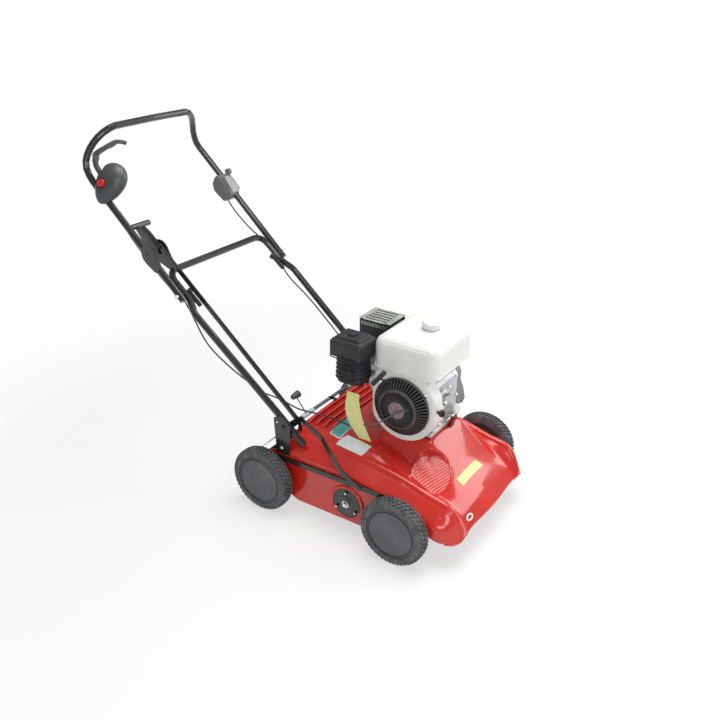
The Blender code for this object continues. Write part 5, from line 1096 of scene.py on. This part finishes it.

# %% [markdown]
# ## The muffler guard's bright top
# The guard is a black cage with a pale heat-proof sheet on top and a row of punched slots. Bare metal
# shines at the slots' edges, where the punch broke the paint. A near-black block in each slot is
# painted shade.

# %% Muffler guard trim
SHEET_LOW, SHEET_HIGH = Vector((0.0012, 0.0725 + SHIFT, 0.6125)), Vector((0.1028, 0.1898 + SHIFT, 0.6134))
SLOT_AT_X, SLOT_AT_Z = 0.0017, 0.599
centre = (SHEET_LOW + SHEET_HIGH) / 2
top_sheet = Piece("muffler_top_sheet", HEAT_SHEET, "cast_aluminium")
for k in range(6):
    top_sheet.block((SHEET_LOW.x + 0.0085 + 0.018 * (k - 0.5) + 0.0035, centre.y, centre.z),
                    (0.005, 0.04, 0.0006))
for y in (SHEET_LOW.y + 0.01, SHEET_HIGH.y - 0.011):
    top_sheet.block((centre.x, y, centre.z), (0.0495, 0.0095, 0.0006))
top_sheet.done(30)
slots = Piece("guard_slot_edges", ZINC, "steel")
# Near-black blocks in the slots: painted shade.
slot_shade = Piece("guard_slot_painted_shade", PAINTED_SHADE, "black_paint")
for k in range(10):
    y = 0.083 + SHIFT + 0.0103 * k
    for dy in (-0.0026, 0.0026):
        slots.block((SLOT_AT_X - 0.0004, y + dy, SLOT_AT_Z), (0.0005, 0.0005, 0.0048))
    for dz in (-0.0045, 0.0045):
        slots.block((SLOT_AT_X - 0.0004, y, SLOT_AT_Z + dz), (0.0005, 0.0028, 0.0005))
    slot_shade.block((SLOT_AT_X - 0.0001, y, SLOT_AT_Z), (0.0004, 0.0024, 0.0043))
slots.done(30)
slot_shade.done(30)

# %% [markdown]
# ## Stickers
# Each sticker is a sheet 0.4 mm thick that follows the deck. Its corners are found by looking through
# the photograph's points at the deck, and a grid between them is dropped onto the metal.

# %% Stickers on the deck
CARD_ROWS, CARD_T = 8, 0.0004


def sticker(name, material, lift, corners):
    """A thin sheet between four picture points, laid on the deck."""
    a, b, c, d = (seen_on("deck_shell", *corner)[0] for corner in corners)
    piece = Piece(name, material, "card")
    sheets = []
    for extra in (lift, lift + CARD_T):
        sheet = []
        for i in range(CARD_ROWS + 1):
            line = []
            for j in range(CARD_ROWS + 1):
                p = a.lerp(b, j / CARD_ROWS).lerp(d.lerp(c, j / CARD_ROWS), i / CARD_ROWS)
                found, normal, _, _ = tree_of("deck_shell").ray_cast(p + Vector((0, 0, 0.05)), Vector(DOWN))
                found = found if found else p
                normal = normal if normal else Vector(UP)
                line.append(found + (-normal if normal.z < 0 else normal) * extra)
            sheet.append(piece.ring(line))
        sheets.append(sheet)
    low, high = sheets
    for sheet, step in ((low, -1), (high, 1)):
        for i in range(CARD_ROWS):
            for j in range(CARD_ROWS):
                piece.bm.faces.new((sheet[i][j], sheet[i][j + 1], sheet[i + 1][j + 1],
                                    sheet[i + 1][j])[::step])
    edge = [(0, j) for j in range(CARD_ROWS)] + [(i, CARD_ROWS) for i in range(CARD_ROWS)]
    edge += [(CARD_ROWS, j) for j in range(CARD_ROWS, 0, -1)] + [(i, 0) for i in range(CARD_ROWS, 0, -1)]
    for (i, j), (m, n) in zip(edge, edge[1:] + edge[:1]):
        piece.bm.faces.new((low[i][j], low[m][n], high[m][n], high[i][j]))
    piece.done(60)


sticker("teal_label_border", WHITE_CARD, 0.0003,
        ((329.6, 433.2), (346.0, 417.8), (357.6, 423.8), (339.9, 439.4)))
sticker("teal_label", TEAL_CARD, 0.0008, ((331, 432.9), (346, 419), (356, 424), (339.9, 437.9)))
sticker("white_label", WHITE_CARD, 0.0005, ((335.8, 444), (347.9, 435), (371.9, 446.9), (361, 455.9)))
sticker("yellow_label", GREEN_CARD, 0.0005, ((456, 479), (475.1, 459.9), (483.1, 465), (463, 485.9)))
print("stickers laid on the deck")

# %% [markdown]
# ## Screws, slots and the arch on the deck
# Screws hold the bearing, the bracket and the front lip; a raised arch above the bearing stiffens the
# side plate, and a small knob stands on the flap's barrel.

# %% Deck fittings
fittings = Piece("deck_screws", STEEL, "steel")
spot, normal = seen_on("deck_shell", 462, 430.4)
fittings.screw(spot - normal * 0.0008, normal, 0.006)
spot, normal = seen_on("deck_shell", 469.6, 517)
slot_long = (Vector(LEFT) - normal * normal.x).normalized()
slot_wide = normal.cross(slot_long)
fittings.screw(spot + normal * 0.0006 - slot_long * 0.005, normal, 0.0062, washer=False)
fittings.done(30)
Piece("front_slot_rim", WHITE, "steel").band(
    [[spot + normal * up + slot_long * long * c + slot_wide * wide * s for c, s in circle(36)]
     for long, wide, up in ((0.0175, 0.0105, -0.0006), (0.0172, 0.0102, 0.0014), (0.015, 0.0082, 0.0018),
                            (0.0118, 0.0056, 0.0014), (0.0114, 0.0052, -0.0006))], closed=True).done(40)

spot, normal = seen_on("rear_flap", 306.0, 413.0)
print("flap's barrel seen at", spot)
if spot:
    knob_at = sight_on_x(295.5, 395.5, spot.x)
    knob = Piece("flap_knob", CONTROL, "grey_plastic", "rear_flap")
    way = (knob_at - spot).normalized()
    knob.tube([spot - way * 0.001, spot.lerp(knob_at, 0.5), knob_at], 0.002, 10, 0)
    knob.turn(knob_at - Vector((0.017, 0, 0)), LEFT,
              ((0.0, 0.007), (0.002, 0.009), (0.032, 0.0125), (0.034, 0.0105)), 24)
    knob.done()

arches = Piece("bearing_arches", RED, "red_paint")
for side in (-1, 1):
    arches.tube([on_circle(ROTOR, side * (SIDE_X + 0.0012), 0.058, 200 - 220 * k / 24) for k in range(25)],
                0.0035, 10, 0)
arches.done(60)
screwed("bearing_bolts", "frame",
        [(on_circle(ROTOR, side * (SIDE_X + 0.0102), 0.04, 90 + 120 * k), (side, 0, 0), 0.0082)
         for side in (-1, 1) for k in range(3)], washer=False)
screwed("rotor_end_bolts", "rotor",
        [((side * (SIDE_X + 0.0112), ROTOR.y, ROTOR.z), (side, 0, 0), 0.015) for side in (-1, 1)])
screwed("bracket_bolts", "frame",
        [((side * x, y + SHIFT, z), (side, 0, 0), across) for side in (-1, 1)
         for x, y, z, across in ((0.2758, 0.2975, 0.231, 0.0095), (0.27, 0.315, 0.318, 0.0075))])

# %% [markdown]
# ## Floor and light
# The photograph is a studio cut-out on white. A pale floor takes a soft shadow, and it fades into a
# plain white glow away from the machine.

# %% Floor
FLOOR_NEAR, FLOOR_FAR, HALF_FLOOR, FLOOR_Z = 0.75, 1.9, 30.0, -0.0005


def pale_floor():
    recipe = Recipe(bpy.data.materials.new("pale_floor"))
    scuffs = recipe.mask(recipe.noise(3.0, 6.0, 0.7), 0.55, 0.8)
    tone = recipe.mix(scuffs * 0.1, (0.93, 0.93, 0.93), (0.84, 0.84, 0.85))
    matt = recipe.node("ShaderNodeBsdfDiffuse", {}, {"Color": tone})
    glow = recipe.node("ShaderNodeEmission", {}, {"Color": (1.0, 1.0, 1.0), "Strength": 1.0})
    away = recipe.node("ShaderNodeVectorMath", {"operation": "LENGTH"}, {0: recipe.place()}, out=1)
    seen = recipe.ray("Camera").most(recipe.ray("Glossy")).most(recipe.ray("Transmission"))
    share = seen * (recipe.mask(away, FLOOR_NEAR, FLOOR_FAR) * 0.42 + 0.58)
    return recipe.close(recipe.node("ShaderNodeMixShader", {}, {0: share, 1: matt, 2: glow}))


floor_mesh = bpy.data.meshes.new("floor")
floor_corners = [(u * HALF_FLOOR, v * HALF_FLOOR, FLOOR_Z) for u, v in ((-1, -1), (1, -1), (1, 1), (-1, 1))]
floor_mesh.from_pydata(floor_corners, [], [(0, 1, 2, 3)])
floor_mesh.materials.append(pale_floor())
floor = put("floor", floor_mesh)

# %% [markdown]
# Three soft boxes give the enamel something wide to mirror. The world is white to the camera and
# dimmer to the machine, so that the background stays clean and the shapes keep their shade.

# %% Lights and world
def soft_box(name, at, size, watts):
    lamp = put(name, bpy.data.lights.new(name, "AREA"))
    lamp.data.shape, lamp.data.energy = "RECTANGLE", watts
    lamp.data.size, lamp.data.size_y = size
    lamp.location = at
    lamp.rotation_euler = (Vector((0.0, -0.1, 0.35)) - Vector(at)).to_track_quat("-Z", "Y").to_euler()


soft_box("overhead_box", (0.3, -0.5, 2.8), (2.0, 2.0), 60)
soft_box("front_box", (-2.4, -2.8, 1.6), (1.6, 1.2), 28)
soft_box("side_box", (2.5, -2.2, 1.7), (1.9, 1.4), 34)

studio = Recipe(bpy.data.worlds.new("studio"), "ShaderNodeOutputWorld")
dim, bright = (studio.node("ShaderNodeBackground", {}, {"Color": (1.0, 1.0, 1.0), "Strength": strength})
               for strength in (0.36, 1.0))
bpy.context.scene.world = studio.close(studio.node(
    "ShaderNodeMixShader", {}, {0: studio.ray("Camera").most(studio.ray("Transmission")), 1: dim, 2: bright}))
bpy.context.scene.view_settings.view_transform = "Standard"
